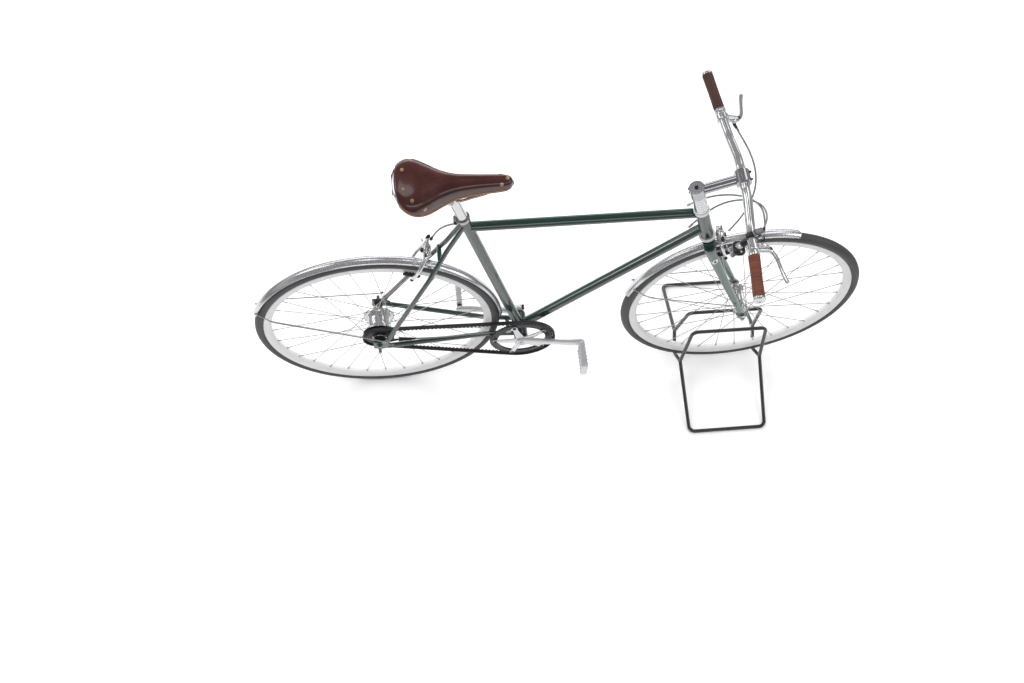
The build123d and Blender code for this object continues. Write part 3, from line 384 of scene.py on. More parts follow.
# each finish: two colours, metal, roughness and its spread, scale of patches and of grain, grain's lift
enamel = {"coat": 1.0, "coatIor": 1.9, "coatRough": 0.03}
paint = finish("framePaint", (0.0022, 0.025, 0.018), (0.0032, 0.032, 0.023), 0.0, 0.32, 0.04, 9, 600, 0.004,
               **enamel)
# painted reflection: the fork blades take a paler copy of the frame's dark green, standing in for the pale
# studio that they reflect
forkPaintedReflection = finish("forkPaintWithPaintedReflection", (0.032, 0.105, 0.083), (0.046, 0.124, 0.1), 0.0, 0.3, 0.04, 9, 600, 0.004,
                   **enamel)
paintDark = finish("crownPaint", (0.002, 0.022, 0.017), (0.003, 0.028, 0.021), 0.0, 0.32, 0.04, 9, 600, 0.004,
                   **enamel)
alloy = finish("polishedAlloy", (0.88, 0.885, 0.91), (0.82, 0.825, 0.85), 0.84, 0.11, 0.02, 14, 420, 0.006)
# painted shade: the stem takes a darker copy of the polished alloy, standing in for its shaded side
stemAlloyPaintedShade = finish("stemAlloyPaintedShade", (0.6, 0.6, 0.64), (0.54, 0.54, 0.58), 0.9, 0.15, 0.02, 14, 420, 0.006)
satinAlloy = finish("satinAlloy", (0.92, 0.92, 0.93), (0.84, 0.84, 0.85), 0.25, 0.32, 0.06, 18, 900, 0.06)
crankAlloy = finish("crankAlloy", (0.86, 0.86, 0.89), (0.78, 0.78, 0.81), 0.72, 0.24, 0.04, 18, 700, 0.03)
fenderAlloy = finish("fenderAlloy", (0.84, 0.845, 0.88), (0.8, 0.805, 0.84), 0.84, 0.22, 0.01, 6, 300, 0.0)
rimAlloy = finish("rimAlloy", (0.94, 0.94, 0.94), (0.88, 0.88, 0.89), 0.1, 0.34, 0.06, 18, 900, 0.05)
spokeSteel = finish("spokeSteel", (0.52, 0.51, 0.5), (0.42, 0.41, 0.4), 0.9, 0.3, 0.06, 24, 900, 0.03)
steel = finish("polishedSteel", (0.6, 0.6, 0.6), (0.5, 0.5, 0.5), 1.0, 0.22, 0.06, 24, 900, 0.05)
blackMetal = finish("blackMetal", (0.012, 0.012, 0.013), (0.02, 0.02, 0.021), 0.1, 0.34, 0.08, 30, 900, 0.08,
                    coat=0.25)
standBlack = finish("standBlack", (0.018, 0.02, 0.02), (0.028, 0.03, 0.03), 0.0, 0.34, 0.06, 20, 700, 0.06,
                    coat=0.8)
rubber = finish("tyreRubber", (0.056, 0.056, 0.059), (0.074, 0.073, 0.075), 0.0, 0.5, 0.08, 12, 500, 0.2)
beltRubber = finish("beltRubber", (0.014, 0.014, 0.014), (0.022, 0.022, 0.022), 0.0, 0.55, 0.1, 30, 900, 0.25)
padRubber = finish("padRubber", (0.012, 0.012, 0.012), (0.02, 0.02, 0.02), 0.0, 0.7, 0.1, 40, 1200, 0.3)
plastic = finish("blackPlastic", (0.01, 0.01, 0.011), (0.016, 0.016, 0.017), 0.0, 0.26, 0.06, 40, 1500, 0.06,
                 coat=0.8)
housing = finish("cableHousing", (0.24, 0.25, 0.26), (0.19, 0.2, 0.21), 0.15, 0.36, 0.06, 60, 1500, 0.06,
                 coat=0.3)
leather = leatherFinish("saddleLeather")
edgeLeather = finish("cutEdge", (0.42, 0.19, 0.09), (0.34, 0.14, 0.06), 0.0, 0.6, 0.1, 120, 900, 0.3)
# painted light and shade: one grip leather in two copies, a lighter redder one as the lit right grip and a
# darker one as the shaded left grip
gripLeatherPaintedLight = stackedLeather("gripLeatherPaintedLight", (0.12, 0.026, 0.011), (0.22, 0.058, 0.024))
gripLeatherPaintedShade = stackedLeather("shadedGripLeather", (0.045, 0.015, 0.012), (0.075, 0.026, 0.02))
brass = finish("agedBrass", (0.68, 0.48, 0.32), (0.5, 0.34, 0.2), 0.9, 0.34, 0.08, 200, 900, 0.15)
windowGrey = finish("windowGrey", (0.1, 0.11, 0.14), (0.07, 0.075, 0.095), 0.0, 0.16, 0.03, 60, 900, 0.01,
                    coat=1.0)
redMark = finish("redMark", (0.6, 0.02, 0.015), (0.5, 0.015, 0.01), 0.0, 0.4, 0.05, 90, 900, 0.05)

nodeFinish = {
    paint: ["head_tube", "top_tube", "down_tube", "seat_tube", "bottom_bracket_shell",
            "chain_stays", "seat_stays", "rear_dropouts", "frame_bridges"],
    # the fork blades get the paler copy of the frame paint, a painted reflection
    forkPaintedReflection: ["fork_blades"],
    paintDark: ["fork_crown"],
    alloy: ["handlebar", "seatpost", "front_hub", "rear_hub"],
    # the stem gets the darker alloy copy, a painted shade
    stemAlloyPaintedShade: ["stem"],
    steel: ["front_fender_stays", "rear_fender_stays", "saddle_frame", "crank_spindle", "seat_clamp"],
    blackMetal: ["bottom_bracket_cups", "shift_mechanism"],
    standBlack: ["display_stand"],
}
for material, names in nodeFinish.items():
    for name in names:
        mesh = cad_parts[name].data
        for index in range(len(mesh.materials)):
            mesh.materials[index] = material
print("materials set")

# shared places: the head tube's angle in degrees and the axle's lead in millimetres set the steering axis
steering = {"angle": 71.5, "lead": 46}
headAngle = math.radians(steering["angle"])
frontAxle = centreOf("front_rim")
rearAxle = centreOf("rear_rim")
bottomBracket = vec(-114, 0, 280) * mm
steerUp = vec(-math.cos(headAngle), 0, math.sin(headAngle))
steerForward = vec(steerUp[2], 0, -steerUp[0])
steerFoot = frontAxle - steerForward * steering["lead"] * mm
ahead = vec(1, 0, 0)
sideways = vec(0, 1, 0)
upward = vec(0, 0, 1)


def steerPoint(height, forward=0.0, side=0.0):
    # a place beside the steering axis, from millimetres along, ahead of and beside it
    return steerFoot + (steerUp * height + steerForward * forward + sideways * side) * mm


def wheelPlace(axle, radius, angle, side):
    # places round a wheel: radius times cosine ahead, radius times sine up, and a distance to the side
    radius, angle, side = np.broadcast_arrays(radius, angle, side)
    return axle + np.stack([radius * np.cos(angle), side, radius * np.sin(angle)], axis=-1) * mm


tyreSettings = {
    "centre": 328, "section": 14, "bead": 318.3, "rows": 960, "columns": 41, "depth": 0.55,
    "grooves": [(0, 0.09), (0.42, 0.06)],  # angle from the middle of the tread, and width
    "ribAngle": 1.75, "ribWidth": 0.05, "ribProud": 0.35,
    "sipes": 160, "slant": 0.055, "sipeCut": 0.72, "sipeSoft": 0.2,
    "shoulder": 0.5, "shoulderSoft": 0.08, "sipeEnd": 1.0, "endSoft": 0.1,
}


def tyre(name, axle, body, node):
    # a round section carried round the wheel; three grooves run round the tread and slanted sipes,
    # one pattern mirrored about the middle, cut its shoulders, while a thin rib rings each sidewall
    s = tyreSettings
    low = math.acos((s["bead"] - s["centre"]) / s["section"])
    section = np.linspace(-low, low, s["columns"])[None, :]
    turn = np.linspace(0, 2 * np.pi, s["rows"], endpoint=False)[:, None]
    side = np.abs(section)
    line = sum(np.exp(-(((side - place) / width) ** 2)) for place, width in s["grooves"])
    slant = 0.5 + 0.5 * np.cos(s["sipes"] * (turn + s["slant"] * side))
    shoulder = ramp(side, s["shoulder"], s["shoulderSoft"]) * ramp(s["sipeEnd"] - side, 0, s["endSoft"])
    sipe = ramp(slant, s["sipeCut"], s["sipeSoft"]) * shoulder
    rib = np.exp(-(((side - s["ribAngle"]) / s["ribWidth"]) ** 2))
    radius = s["section"] - s["depth"] * np.clip(line + sipe, 0, 1) + s["ribProud"] * (rib - 1)
    grid = wheelPlace(axle, s["centre"] + radius * np.cos(section), turn, radius * np.sin(section))
    piece(name, [skin(grid, wrapRows=True)], [rubber], body, [node], sharp=50)


rimSettings = {
    "section": [(11, 318), (11.2, 317), (11, 316), (10.9, 308), (11.05, 307.3), (11, 303), (9.6, 299.6),
                (7, 297.4), (3.6, 296.3), (0, 296), (-3.6, 296.3), (-7, 297.4), (-9.6, 299.6), (-11, 303),
                (-11.05, 307.3), (-10.9, 308), (-11, 316), (-11.2, 317), (-11, 318), (-9, 318),
                (-8.6, 312), (8.6, 312), (9, 318)],
    "steps": 240,
}


def rim(name, axle, body, node):
    # one closed section turned round the axle
    ring = ringLathe(rimSettings["section"], axle, sideways, rimSettings["steps"])
    piece(name, [ring], [rimAlloy], body, [node], sharp=28)


spokeSettings = {
    "count": 32, "radius": 1.0, "rimRadius": 297, "rimSide": 1.6, "hole": 3, "flangeHalf": 2.9,
    "elbow": 1.1, "head": 2.1, "headHalf": 0.5, "nipple": 1.6, "nippleLength": 12,
    "neck": 1.45, "neckLength": 1.6, "seat": 2.3, "seatLength": 2.6,
}


def spokes(name, axle, body, node, flangeRadius, flangeSide, crosses):
    # sixteen spokes a side; each leaves its hole in the flange and leans over by the crosses' angle,
    # one way for the even ones and the other way for the odd, and ends in a nipple at the rim
    s = spokeSettings
    half = s["count"] // 2
    step = 2 * np.pi / half
    k = np.arange(s["count"])
    side = np.where(k < half, 1.0, -1.0)
    rimTurn = step * (k % half) + np.where(k < half, 0, step / 2)
    lean = np.where(k % 2 == 0, -1.0, 1.0)
    hubTurn = rimTurn + lean * crosses * step
    hole = flangeRadius - s["hole"]
    hub = wheelPlace(axle, hole, hubTurn, side * (flangeSide + lean * s["flangeHalf"]))
    back = wheelPlace(axle, hole, hubTurn, side * (flangeSide - lean * s["flangeHalf"]))
    end = wheelPlace(axle, s["rimRadius"], rimTurn, side * s["rimSide"])
    run = unit(end - hub) * mm
    nippleStart = end - run * s["nippleLength"]
    headHalf = sideways * s["headHalf"] * mm
    chunks = [
        rods(hub, end, s["radius"], 10),
        rods(back, hub, s["elbow"], 8),
        rods(back - headHalf, back + headHalf, s["head"], 10),
        rods(nippleStart, end, s["nipple"], 8),
        rods(nippleStart - run * s["neckLength"], nippleStart, s["neck"], 8),
        rods(end - run * s["seatLength"], end, s["seat"], 12),
    ]
    piece(name, chunks, [spokeSteel], body, [node])


dustSettings = {
    "section": [(-28.3, 22), (-28.3, 45), (-29.4, 45.6), (-30.2, 45), (-31.6, 38), (-33.2, 24), (-33.6, 20.3),
                (-31, 20.3)],
    "steps": 72,
}

tyre("frontTyre", frontAxle, "front_wheel", "front_tyre")
tyre("rearTyre", rearAxle, "rear_wheel", "rear_tyre")
rim("frontRim", frontAxle, "front_wheel", "front_rim")
rim("rearRim", rearAxle, "rear_wheel", "rear_rim")
spokes("frontSpokes", frontAxle, "front_wheel", "front_spokes", 22, 34, 3)
spokes("rearSpokes", rearAxle, "rear_wheel", "rear_spokes", 44, 26, 2)
dust = ringLathe(dustSettings["section"], rearAxle, sideways, dustSettings["steps"])
piece("rearDustDisc", [dust], [blackMetal], "rear_wheel")
print("wheels built")

axleSettings = {
    # along and radius, from the inner end of the cone, from the dropout's inner face and from its outer one
    "coneStart": [(0, 5.5), (1.5, 8.2)], "coneEnd": [(-3, 8.8), (-0.1, 8.8), (-0.1, 5)],
    "washer": [(0.05, 5), (0.05, 8.9), (1.4, 8.9), (1.6, 8.6), (1.6, 5)],
    "spacer": [(40, 5), (40, 11.6), (41, 12), (63, 12), (64, 11.6), (64, 5)],
    "bar": 4.9, "nutGap": 1.7, "nutRadius": 8.6, "nutDeep": 6.4, "nutChamfer": 0.8,
    "pitch": 1.0, "thread": 4.75, "threadDeep": 0.25, "threadStep": 0.25, "threadStop": 1.0,
    "tip": [(-0.6, 4.6), (0, 4.0)],
}


def axleSet(name, axle, body, node, plateOuter, end, coneStart, plateInner, spacer):
    # cones inside the dropouts, washers and six-sided nuts outside, and thread to the ends, whose radius
    # is a cosine of the distance along
    s = axleSettings
    bar = sideways * plateOuter * mm
    chunks = [rods(axle - bar, axle + bar, s["bar"], 24)]
    for side in (-1, 1):
        out = sideways * side
        cone = [(coneStart + a, r) for a, r in s["coneStart"]]
        cone += [(plateInner + a, r) for a, r in s["coneEnd"]]
        chunks.append(ringLathe(cone, axle, out, 32))
        chunks.append(ringLathe([(plateOuter + a, r) for a, r in s["washer"]], axle, out, 32))
        start = plateOuter + s["nutGap"]
        middle = axle + out * (start + s["nutDeep"] / 2) * mm
        corners = np.radians(60 * np.arange(6))
        hexagon = np.stack([np.cos(corners), np.sin(corners)], axis=1) * s["nutRadius"]
        chunks.append(plate(hexagon, middle, *across(out), s["nutDeep"], s["nutChamfer"]))
        along = np.arange(start + s["nutDeep"], end - s["threadStop"], s["threadStep"])
        ridge = s["thread"] + s["threadDeep"] * np.cos(2 * np.pi * along / s["pitch"])
        tip = [(end + a, r) for a, r in s["tip"]]
        chunks.append(lathe(np.vstack([np.stack([along, ridge], 1), tip]), axle, out, 20))
    if spacer:
        chunks.append(ringLathe(s["spacer"], axle, sideways, 36))
    piece(name, chunks, [steel], body, [node])


axleSet("frontAxleSet", frontAxle, "front", "front_axle", 58, 70, 46, 52, False)
axleSet("rearAxleSet", rearAxle, "frame", "rear_axle", 71, 92, 56, 65, True)
print("axles built")

# the toothed belt, its ring and its sprocket
beltSettings = {
    "pitch": 11, "ringTeeth": 55, "cogTeeth": 26, "side": -42, "tip": 4.2, "root": 0.4, "perTooth": 14,
    "edge": 1.5,
    # across the belt: place, share of the tooth's depth, and height of the back with its two ribs
    "section": [(-5.5, 0.9, 0), (-5, 1, 0), (5, 1, 0), (5.5, 0.9, 0), (5.5, 0, 1.4), (4.9, 0, 1.9),
                (2, 0, 1.9), (1.4, 0, 1.5), (-1.4, 0, 1.5), (-2, 0, 1.9), (-4.9, 0, 1.9), (-5.5, 0, 1.4)],
}


def beltPath():
    # arc length round the ring, along the lower run, round the sprocket and back along the upper one:
    # an arc is its centre plus radius times cosine and sine, and a run is an even step between its ends
    s = beltSettings
    ringRadius = s["ringTeeth"] * s["pitch"] / (2 * np.pi)
    cogRadius = s["cogTeeth"] * s["pitch"] / (2 * np.pi)
    ringCentre = vec(bottomBracket[0], bottomBracket[2]) / mm
    cogCentre = vec(rearAxle[0], rearAxle[2]) / mm
    run = cogCentre - ringCentre
    base = math.atan2(run[1], run[0])
    tilt = math.acos((ringRadius - cogRadius) / np.hypot(*run))
    straight = math.sqrt(run @ run - (ringRadius - cogRadius) ** 2)
    arcs = [ringRadius * (2 * np.pi - 2 * tilt), straight, cogRadius * 2 * tilt, straight]
    starts = np.r_[0, np.cumsum(arcs)]
    total = starts[-1]
    at = np.linspace(0, total, s["perTooth"] * round(total / s["pitch"]), endpoint=False)
    ringTurn = base + tilt + at / ringRadius
    cogTurn = base - tilt + (at - starts[2]) / cogRadius
    low = vec(math.cos(base - tilt), math.sin(base - tilt))
    high = vec(math.cos(base + tilt), math.sin(base + tilt))
    onLow, onCog, onHigh = at >= starts[1], at >= starts[2], at >= starts[3]
    normals = np.stack([np.cos(ringTurn), np.sin(ringTurn)], 1)
    normals[onLow] = low
    normals[onCog] = np.stack([np.cos(cogTurn), np.sin(cogTurn)], 1)[onCog]
    normals[onHigh] = high
    ringLow, cogLow = ringCentre + ringRadius * low, cogCentre + cogRadius * low
    ringHigh, cogHigh = ringCentre + ringRadius * high, cogCentre + cogRadius * high
    places = ringCentre + ringRadius * normals
    places[onLow] = ringLow + (at[onLow] - starts[1])[:, None] / straight * (cogLow - ringLow)
    places[onCog] = cogCentre + cogRadius * normals[onCog]
    places[onHigh] = cogHigh + (at[onHigh] - starts[3])[:, None] / straight * (ringHigh - cogHigh)
    return at / total, round(total / s["pitch"]), places, normals


def drawBelt():
    # the inner edge dips by a clipped cosine, one tooth to each pitch, and the back has two ribs
    s = beltSettings
    share, teeth, places, normals = beltPath()
    wave = np.clip(0.5 + s["edge"] * np.cos(2 * np.pi * share * teeth), 0, 1)
    inner = -(s["root"] + (s["tip"] - s["root"]) * wave)
    side, depth, back = np.array(s["section"], float).T
    flat = places[:, None] + (inner[:, None] * depth + back)[:, :, None] * normals[:, None]
    aside = np.broadcast_to(s["side"] + side, flat.shape[:2])
    grid = np.stack([flat[:, :, 0], aside, flat[:, :, 1]], axis=-1) * mm
    piece("toothedBelt", [skin(grid, wrapRows=True)], [beltRubber], "frame", ["drive_belt"], sharp=40)


discSettings = {"perTooth": 8, "edge": 1.4, "bevel": 1.5, "bevelDeep": 0.7}


def toothedDisc(centre, teeth, outer, valley, inner, half):
    # a flat ring whose edge dips between its teeth by a clipped cosine
    s = discSettings
    turn = np.linspace(0, 2 * np.pi, teeth * s["perTooth"], endpoint=False)
    edge = valley + (outer - valley) * np.clip(0.5 + s["edge"] * np.cos(teeth * turn), 0, 1)
    rise = half - s["bevelDeep"]
    low = edge - s["bevel"]
    rows = [(inner, -half), (low, -half), (edge, -rise), (edge, rise), (low, half), (inner, half)]
    return skin(np.stack([wheelPlace(centre, r, turn, side) for r, side in rows], axis=1), wrapRows=True)


ringSettings = {
    "disc": (91.5, 88.6, 71, 2.0),  # outer, valley and inner radius, and half the width
    "outerLip": [(1.0, 84), (1.0, 88.0), (2.6, 87.8), (3.2, 86.4), (2.6, 84.6), (1.9, 84)],
    "innerLip": [(1.0, 69.6), (2.5, 69.6), (2.7, 71), (2.2, 72.6), (-2.2, 72.6), (-2.7, 71), (-2.5, 69.6),
                 (-1.0, 69.4)],
    "steps": 120,
}
drawBelt()
beltSide = sideways * beltSettings["side"] * mm
ringMiddle = bottomBracket + beltSide
ringChunks = [toothedDisc(ringMiddle, beltSettings["ringTeeth"], *ringSettings["disc"])]
for lip in (ringSettings["outerLip"], ringSettings["innerLip"]):
    ringChunks.append(ringLathe(lip, ringMiddle, -sideways, ringSettings["steps"]))
piece("beltRing", ringChunks, [blackMetal], "crankset", ["belt_ring"])

sprocketSettings = {
    "disc": (40.7, 37.4, 30, 3.0),
    "cap": [(-55, 5.1), (-55, 15.6), (-54, 17), (-46, 17), (-45.4, 18.6), (-45.2, 26), (-44.4, 27), (-40, 27),
            (-40, 5.1)],
    "collar": [(-46.6, 14), (-46.6, 19.6), (-45.6, 20.4), (-45.2, 14)],
    "arms": 6, "armTurn": 20, "armRadii": (22, 27, 32), "armThick": 2.6, "armHalf": (6.5, 4.5, 6.5),
    "boltRadius": 23.5, "boltSide": -45.4, "bolt": (2.6, 1.6),
}


def drawSprocket():
    # the toothed ring, six waisted arms round the hub's cap, a bolt on each arm and a bright collar
    s = sprocketSettings
    chunks = [toothedDisc(rearAxle + beltSide, beltSettings["cogTeeth"], *s["disc"])]
    chunks.append(ringLathe(s["cap"], rearAxle, sideways, 48))
    for turn in np.radians(360 / s["arms"] * np.arange(s["arms"]) + s["armTurn"]):
        arm = wheelPlace(rearAxle, s["armRadii"], turn, beltSettings["side"])
        hint = vec(-math.sin(turn), 0, math.cos(turn))
        chunks.append(sweep(arm, s["armThick"], s["armHalf"], hint, count=12, sides=16))
        head = wheelPlace(rearAxle, s["boltRadius"], turn, s["boltSide"])
        chunks.append(boltHead(head, -sideways, *s["bolt"], mark=1))
    chunks.append(ringLathe(s["collar"], rearAxle, sideways, 48, mark=1))
    piece("beltSprocket", chunks, [blackMetal, steel], "rear_sprocket", ["rear_sprocket"])


drawSprocket()
print("drive built")

# cranks and pedals
crankSettings = {
    "length": 170,
    # along the crank from the spindle: distance to the side, half height and half thickness
    "side": [(-16.6, 51.5), (0, 51.5), (25, 52), (70, 57), (130, 64.5), (150, 66), (170, 66.5),
             (182.3, 66.5)],
    "tall": [(-16.6, 16.8), (10, 16.6), (40, 12.2), (110, 9.8), (150, 12), (182.3, 12.4)],
    "wide": [(-16.6, 7.4), (30, 7.2), (100, 6.2), (182.3, 7.3)],
    "stations": 30, "endRound": 13, "pin": (70, 158), "pinRadius": 4.9,
    "boltSide": 58.2, "bolt": (8.2, 2.6), "lockRing": [(58.2, 9.0), (59.4, 9.0), (59.6, 10.2), (58.2, 10.8)],
}
bossSettings = {
    "section": [(44, 9.2), (44, 14.6), (45, 15.6), (63, 15.2), (64.4, 14), (64.4, 10.4), (62.6, 9.6),
                (62.6, 0)],
    "pinchSides": (49.5, 57.5), "pinchAhead": 14, "pinchBelow": -15, "pinchLong": 29, "pinchRadius": 3.4,
    "headRise": 28, "head": (4.0, 3.4),
}
spiderSettings = {
    "arms": 5, "armTurn": 36, "radii": (12, 32, 54, 74, 82.5), "sides": (-48.2, -48, -47.3, -46.7, -46.6),
    "thick": (2.6, 2.6, 2.3, 2.2), "half": (12.5, 9.4, 7.4, 7.2),
    "boltRadius": 76, "boltSide": -48.6, "bolt": (5.4, 1.9),
}


def leftBoss(out):
    # a turned boss with two pinch bolts standing through it
    s = bossSettings
    chunks = [lathe(s["section"], bottomBracket, out, 40)]
    for side in s["pinchSides"]:
        low = bottomBracket + (out * side + ahead * s["pinchAhead"] + upward * s["pinchBelow"]) * mm
        chunks.append(rods(low, low + upward * s["pinchLong"] * mm, s["pinchRadius"], 16))
        chunks.append(boltHead(low + upward * s["headRise"] * mm, upward, *s["head"], mark=1))
    return chunks


def spiderArms():
    # arms at even angles round the spindle, each narrowing outward, with a bolt at the ring
    s = spiderSettings
    chunks = []
    for turn in np.radians(s["armTurn"] + 360 / s["arms"] * np.arange(s["arms"])):
        arm = wheelPlace(bottomBracket, s["radii"], turn, s["sides"])
        hint = vec(-np.sin(turn), 0, np.cos(turn))
        chunks.append(sweep(arm, s["thick"], s["half"], hint, ends=4, power=0.7, count=24, sides=20))
        head = wheelPlace(bottomBracket, s["boltRadius"], turn, s["boltSide"])
        chunks.append(boltHead(head, -sideways, *s["bolt"], mark=1))
    return chunks


def crankArm(name, side, body, node):
    # a rounded bar from the spindle out to the pedal, its half sizes read off evenly between stations;
    # the pedal's pin and the spindle's bolt with its lock ring, then the left boss or the right spider
    s = crankSettings
    out = sideways * side
    along, aside = np.array(s["side"]).T
    path = bottomBracket + np.stack([-side * along, side * aside, 0 * along], 1) * mm
    station = np.linspace(along[0], along[-1], s["stations"])
    tall = np.interp(station, *np.array(s["tall"]).T)
    wide = np.interp(station, *np.array(s["wide"]).T)
    bar = curveThrough(path, 80)
    chunks = [sweep(bar, wide, tall, upward, ends=s["endRound"], power=0.7, count=70, sides=32)]
    pedalEye = bottomBracket - ahead * side * s["length"] * mm
    start, end = [pedalEye + out * distance * mm for distance in s["pin"]]
    chunks.append(rods(start, end, s["pinRadius"], 20))
    chunks.append(boltHead(bottomBracket + out * s["boltSide"] * mm, out, *s["bolt"]))
    chunks.append(ringLathe(s["lockRing"], bottomBracket, out, 32))
    chunks += leftBoss(out) if side > 0 else spiderArms()
    piece(name, chunks, [crankAlloy, blackMetal], body, [node], sharp=40)


pedalSettings = {
    "middle": 120,
    # the two toothed plates: place up and down, half length, half width and its growth, teeth, end notch
    "plateRise": 28.4, "plateHalf": 36, "plateSteps": 241, "plateTall": 6.4, "plateGrowth": 1 / 60,
    "plateThick": 3.0, "plateChamfer": 0.3, "toothPitch": 12, "toothSoft": 0.13, "tooth": 2.6,
    "notch": [(36, 4.6), (28, 2.6), (28, -2.6), (36, -4.6)],
    # the end plates: place along, the heights that they run through and how far their tips step in
    "endSide": 38.3, "endLine": (-29.2, -22, 0, 22, 29.2), "endStep": (2.4, 0, 0, 0, 2.4),
    "endHalf": (1.5, 8.6),
    "barSide": 25, "barHalf": (3.6, 2.6), "barReach": 28,
    "barrel": [(-39, 5.2), (-39, 9.0), (-37.5, 9.6), (-30, 9.6), (-28, 8.3), (28, 8.0), (30, 9.3), (36, 9.3),
               (37, 8.6), (39.6, 8), (40, 7), (40, 0)],
    "seal": [(-44, 5.1), (-44, 6.6), (-39, 7.4), (-39, 5.1)],
}


def pedal(name, side, body, node):
    # two toothed cage plates, whose teeth are clipped triangles along the edge, joined by rounded end
    # plates and two bars round a turned barrel, with a seal at the crank
    s = pedalSettings
    out = sideways * side
    middle = bottomBracket + (out * s["middle"] - ahead * side * crankSettings["length"]) * mm
    along = np.linspace(-s["plateHalf"], s["plateHalf"], s["plateSteps"])
    tooth = np.clip(1 - np.abs((along / s["toothPitch"]) % 1 - 0.5) / s["toothSoft"], 0, 1)
    edge = s["plateTall"] + (along + s["plateHalf"]) * s["plateGrowth"] + s["tooth"] * tooth
    top = np.stack([along, edge], 1)
    outline = np.vstack([top, s["notch"], top[::-1] * (1, -1)])
    chunks = []
    for end in (-1, 1):
        place = middle + upward * end * s["plateRise"] * mm
        chunks.append(plate(outline, place, out, ahead, s["plateThick"], s["plateChamfer"]))
    for end in (-1, 1):
        line = np.array(s["endLine"])
        aside = end * (s["endSide"] - np.array(s["endStep"]))
        path = curveThrough(middle + np.stack([0 * line, aside * side, line], 1) * mm, 40)
        chunks.append(sweep(path, *s["endHalf"], ahead, ends=1.2, power=0.5, count=40, sides=16))
    for end in (-1, 1):
        centre, reach = middle + out * end * s["barSide"] * mm, upward * s["barReach"] * mm
        bar = np.stack([centre - reach, centre + reach])
        chunks.append(sweep(bar, *s["barHalf"], ahead, power=0.6, count=10, sides=16))
    chunks.append(lathe(s["barrel"], middle, out, 36))
    chunks.append(ringLathe(s["seal"], middle, out, 24, mark=1))
    piece(name, chunks, [crankAlloy, blackMetal], body, [node], sharp=30)


crankArm("rightCrank", -1, "crankset", "right_crank")
crankArm("leftCrank", 1, "crankset", "left_crank")
pedal("rightPedal", -1, "right_pedal", "right_pedal")
pedal("leftPedal", 1, "left_pedal", "left_pedal")
print("cranks built")

fenderSettings = {
    "radius": 349.5, "half": 13.5, "depth": 6.0, "bend": 0.86, "sheet": 0.9, "steps": 300,
    "bandRise": 0.55, "bandHalf": 0.42, "bandSoft": 0.11,
    "bead": 1.3, "beadIn": 1.25, "beadBelow": 0.9, "beadTop": 0.2, "liningIn": 1.1,
    "tip": 0.02, "tipWidth": 0.55,  # the tip's length in radians, and its share of the full width
}


def fender(name, axle, body, node, first, last):
    # the section is an arc across with a raised band along its middle and a round bead on each edge;
    # it is carried round the axle, and both tips close in over a short turn
    s = fenderSettings
    y = np.linspace(-1, 1, 61)
    edge = s["radius"] - s["depth"]
    arc = s["radius"] - s["depth"] * (1 - np.sqrt(1 - s["bend"] * y**2)) / (1 - math.sqrt(1 - s["bend"]))
    arc = arc + s["bandRise"] * (np.tanh((s["bandHalf"] - np.abs(y)) / s["bandSoft"]) - 1) / 2
    outer = np.stack([y * s["half"], arc], 1)[1:-1]
    turn = np.linspace(1.25 * np.pi, -0.5 * np.pi, 12)[1:-1]
    bead = s["bead"] * np.stack([np.cos(turn), np.sin(turn)], 1)
    bead = bead + (s["half"] - s["beadIn"], edge - s["beadBelow"])
    inner = np.stack([y * (s["half"] - s["liningIn"]), arc - s["sheet"]], 1)[3:-3]
    right = bead[bead[:, 1] < edge + s["beadTop"]]
    section = np.vstack([outer, right, inner[::-1], right[::-1] * (-1, 1)])
    start, end, tip = math.radians(first), math.radians(last), s["tip"]
    ease = tip * (1 - np.cos(np.linspace(0, np.pi / 2, 9)))[:-1]
    turn = np.r_[start + ease, np.linspace(start + tip, end - tip, s["steps"]), end - ease[::-1]]
    close = rounded(np.minimum(turn - start, end - turn), tip)
    width = (s["tipWidth"] + (1 - s["tipWidth"]) * close)[:, None]
    grid = wheelPlace(axle, section[None, :, 1], turn[:, None], section[None, :, 0] * width)
    piece(name, [skin(grid)], [fenderAlloy], body, [node], sharp=60)


fender("frontFender", frontAxle, "front", "front_fender", 75.5, 168.0)
fender("rearFender", rearAxle, "frame", "rear_fender", 4.0, 162.0)
fenderBoltSettings = {"radius": 346.2, "side": 14.4, "bolt": (3.6, 3.0), "eyeletBolt": (4.4, 3.4)}


def fenderHardware(name, axle, body, angle, eyelet):
    # a bolt on each side where the stay meets the fender, and one at each dropout's eyelet
    s = fenderBoltSettings
    chunks = []
    for side in (-1, 1):
        place = wheelPlace(axle, s["radius"], math.radians(angle), side * s["side"])
        chunks.append(boltHead(place, sideways * side, *s["bolt"]))
        low = axle + vec(eyelet[0], side * eyelet[1], eyelet[2]) * mm
        chunks.append(boltHead(low, sideways * side, *s["eyeletBolt"]))
    piece(name, chunks, [steel], body)


fenderHardware("frontFenderBolts", frontAxle, "front", 160, (-34, 63, 70))
fenderHardware("rearFenderBolts", rearAxle, "frame", 158, (14, 78, 40))
print("fenders built")

saddleSettings = {
    "noseX": -165, "top": 1024, "leather": 4.6, "cutColumns": 2, "narrowest": 0.04,
    # distance behind the nose, half width, drop below the top and depth of the skirt
    "sections": [(0, 10, 23, 20), (20, 16.5, 16, 29), (80, 20.5, 13, 36), (130, 27, 12, 42),
                 (165, 41, 9, 51), (195, 60, 5, 53), (222, 73, 1.6, 46), (245, 71, 1.4, 35),
                 (262, 57, 2, 26), (273, 38, 4, 17)],
    # the section from one edge to the crown, as shares of the half width and of the height
    "across": [(1, 0), (0.985, 0.3), (0.9, 0.66), (0.72, 0.86), (0.4, 0.965), (0, 1)],
    "noseRound": 9, "noseDrop": 5, "tailRound": 7, "tailDrop": 6, "endInset": 0.6,
    "beadRows": (12, 126), "beadRise": 1.6, "beadHalf": (1.9, 2.5), "lipBelow": 0.5,
}


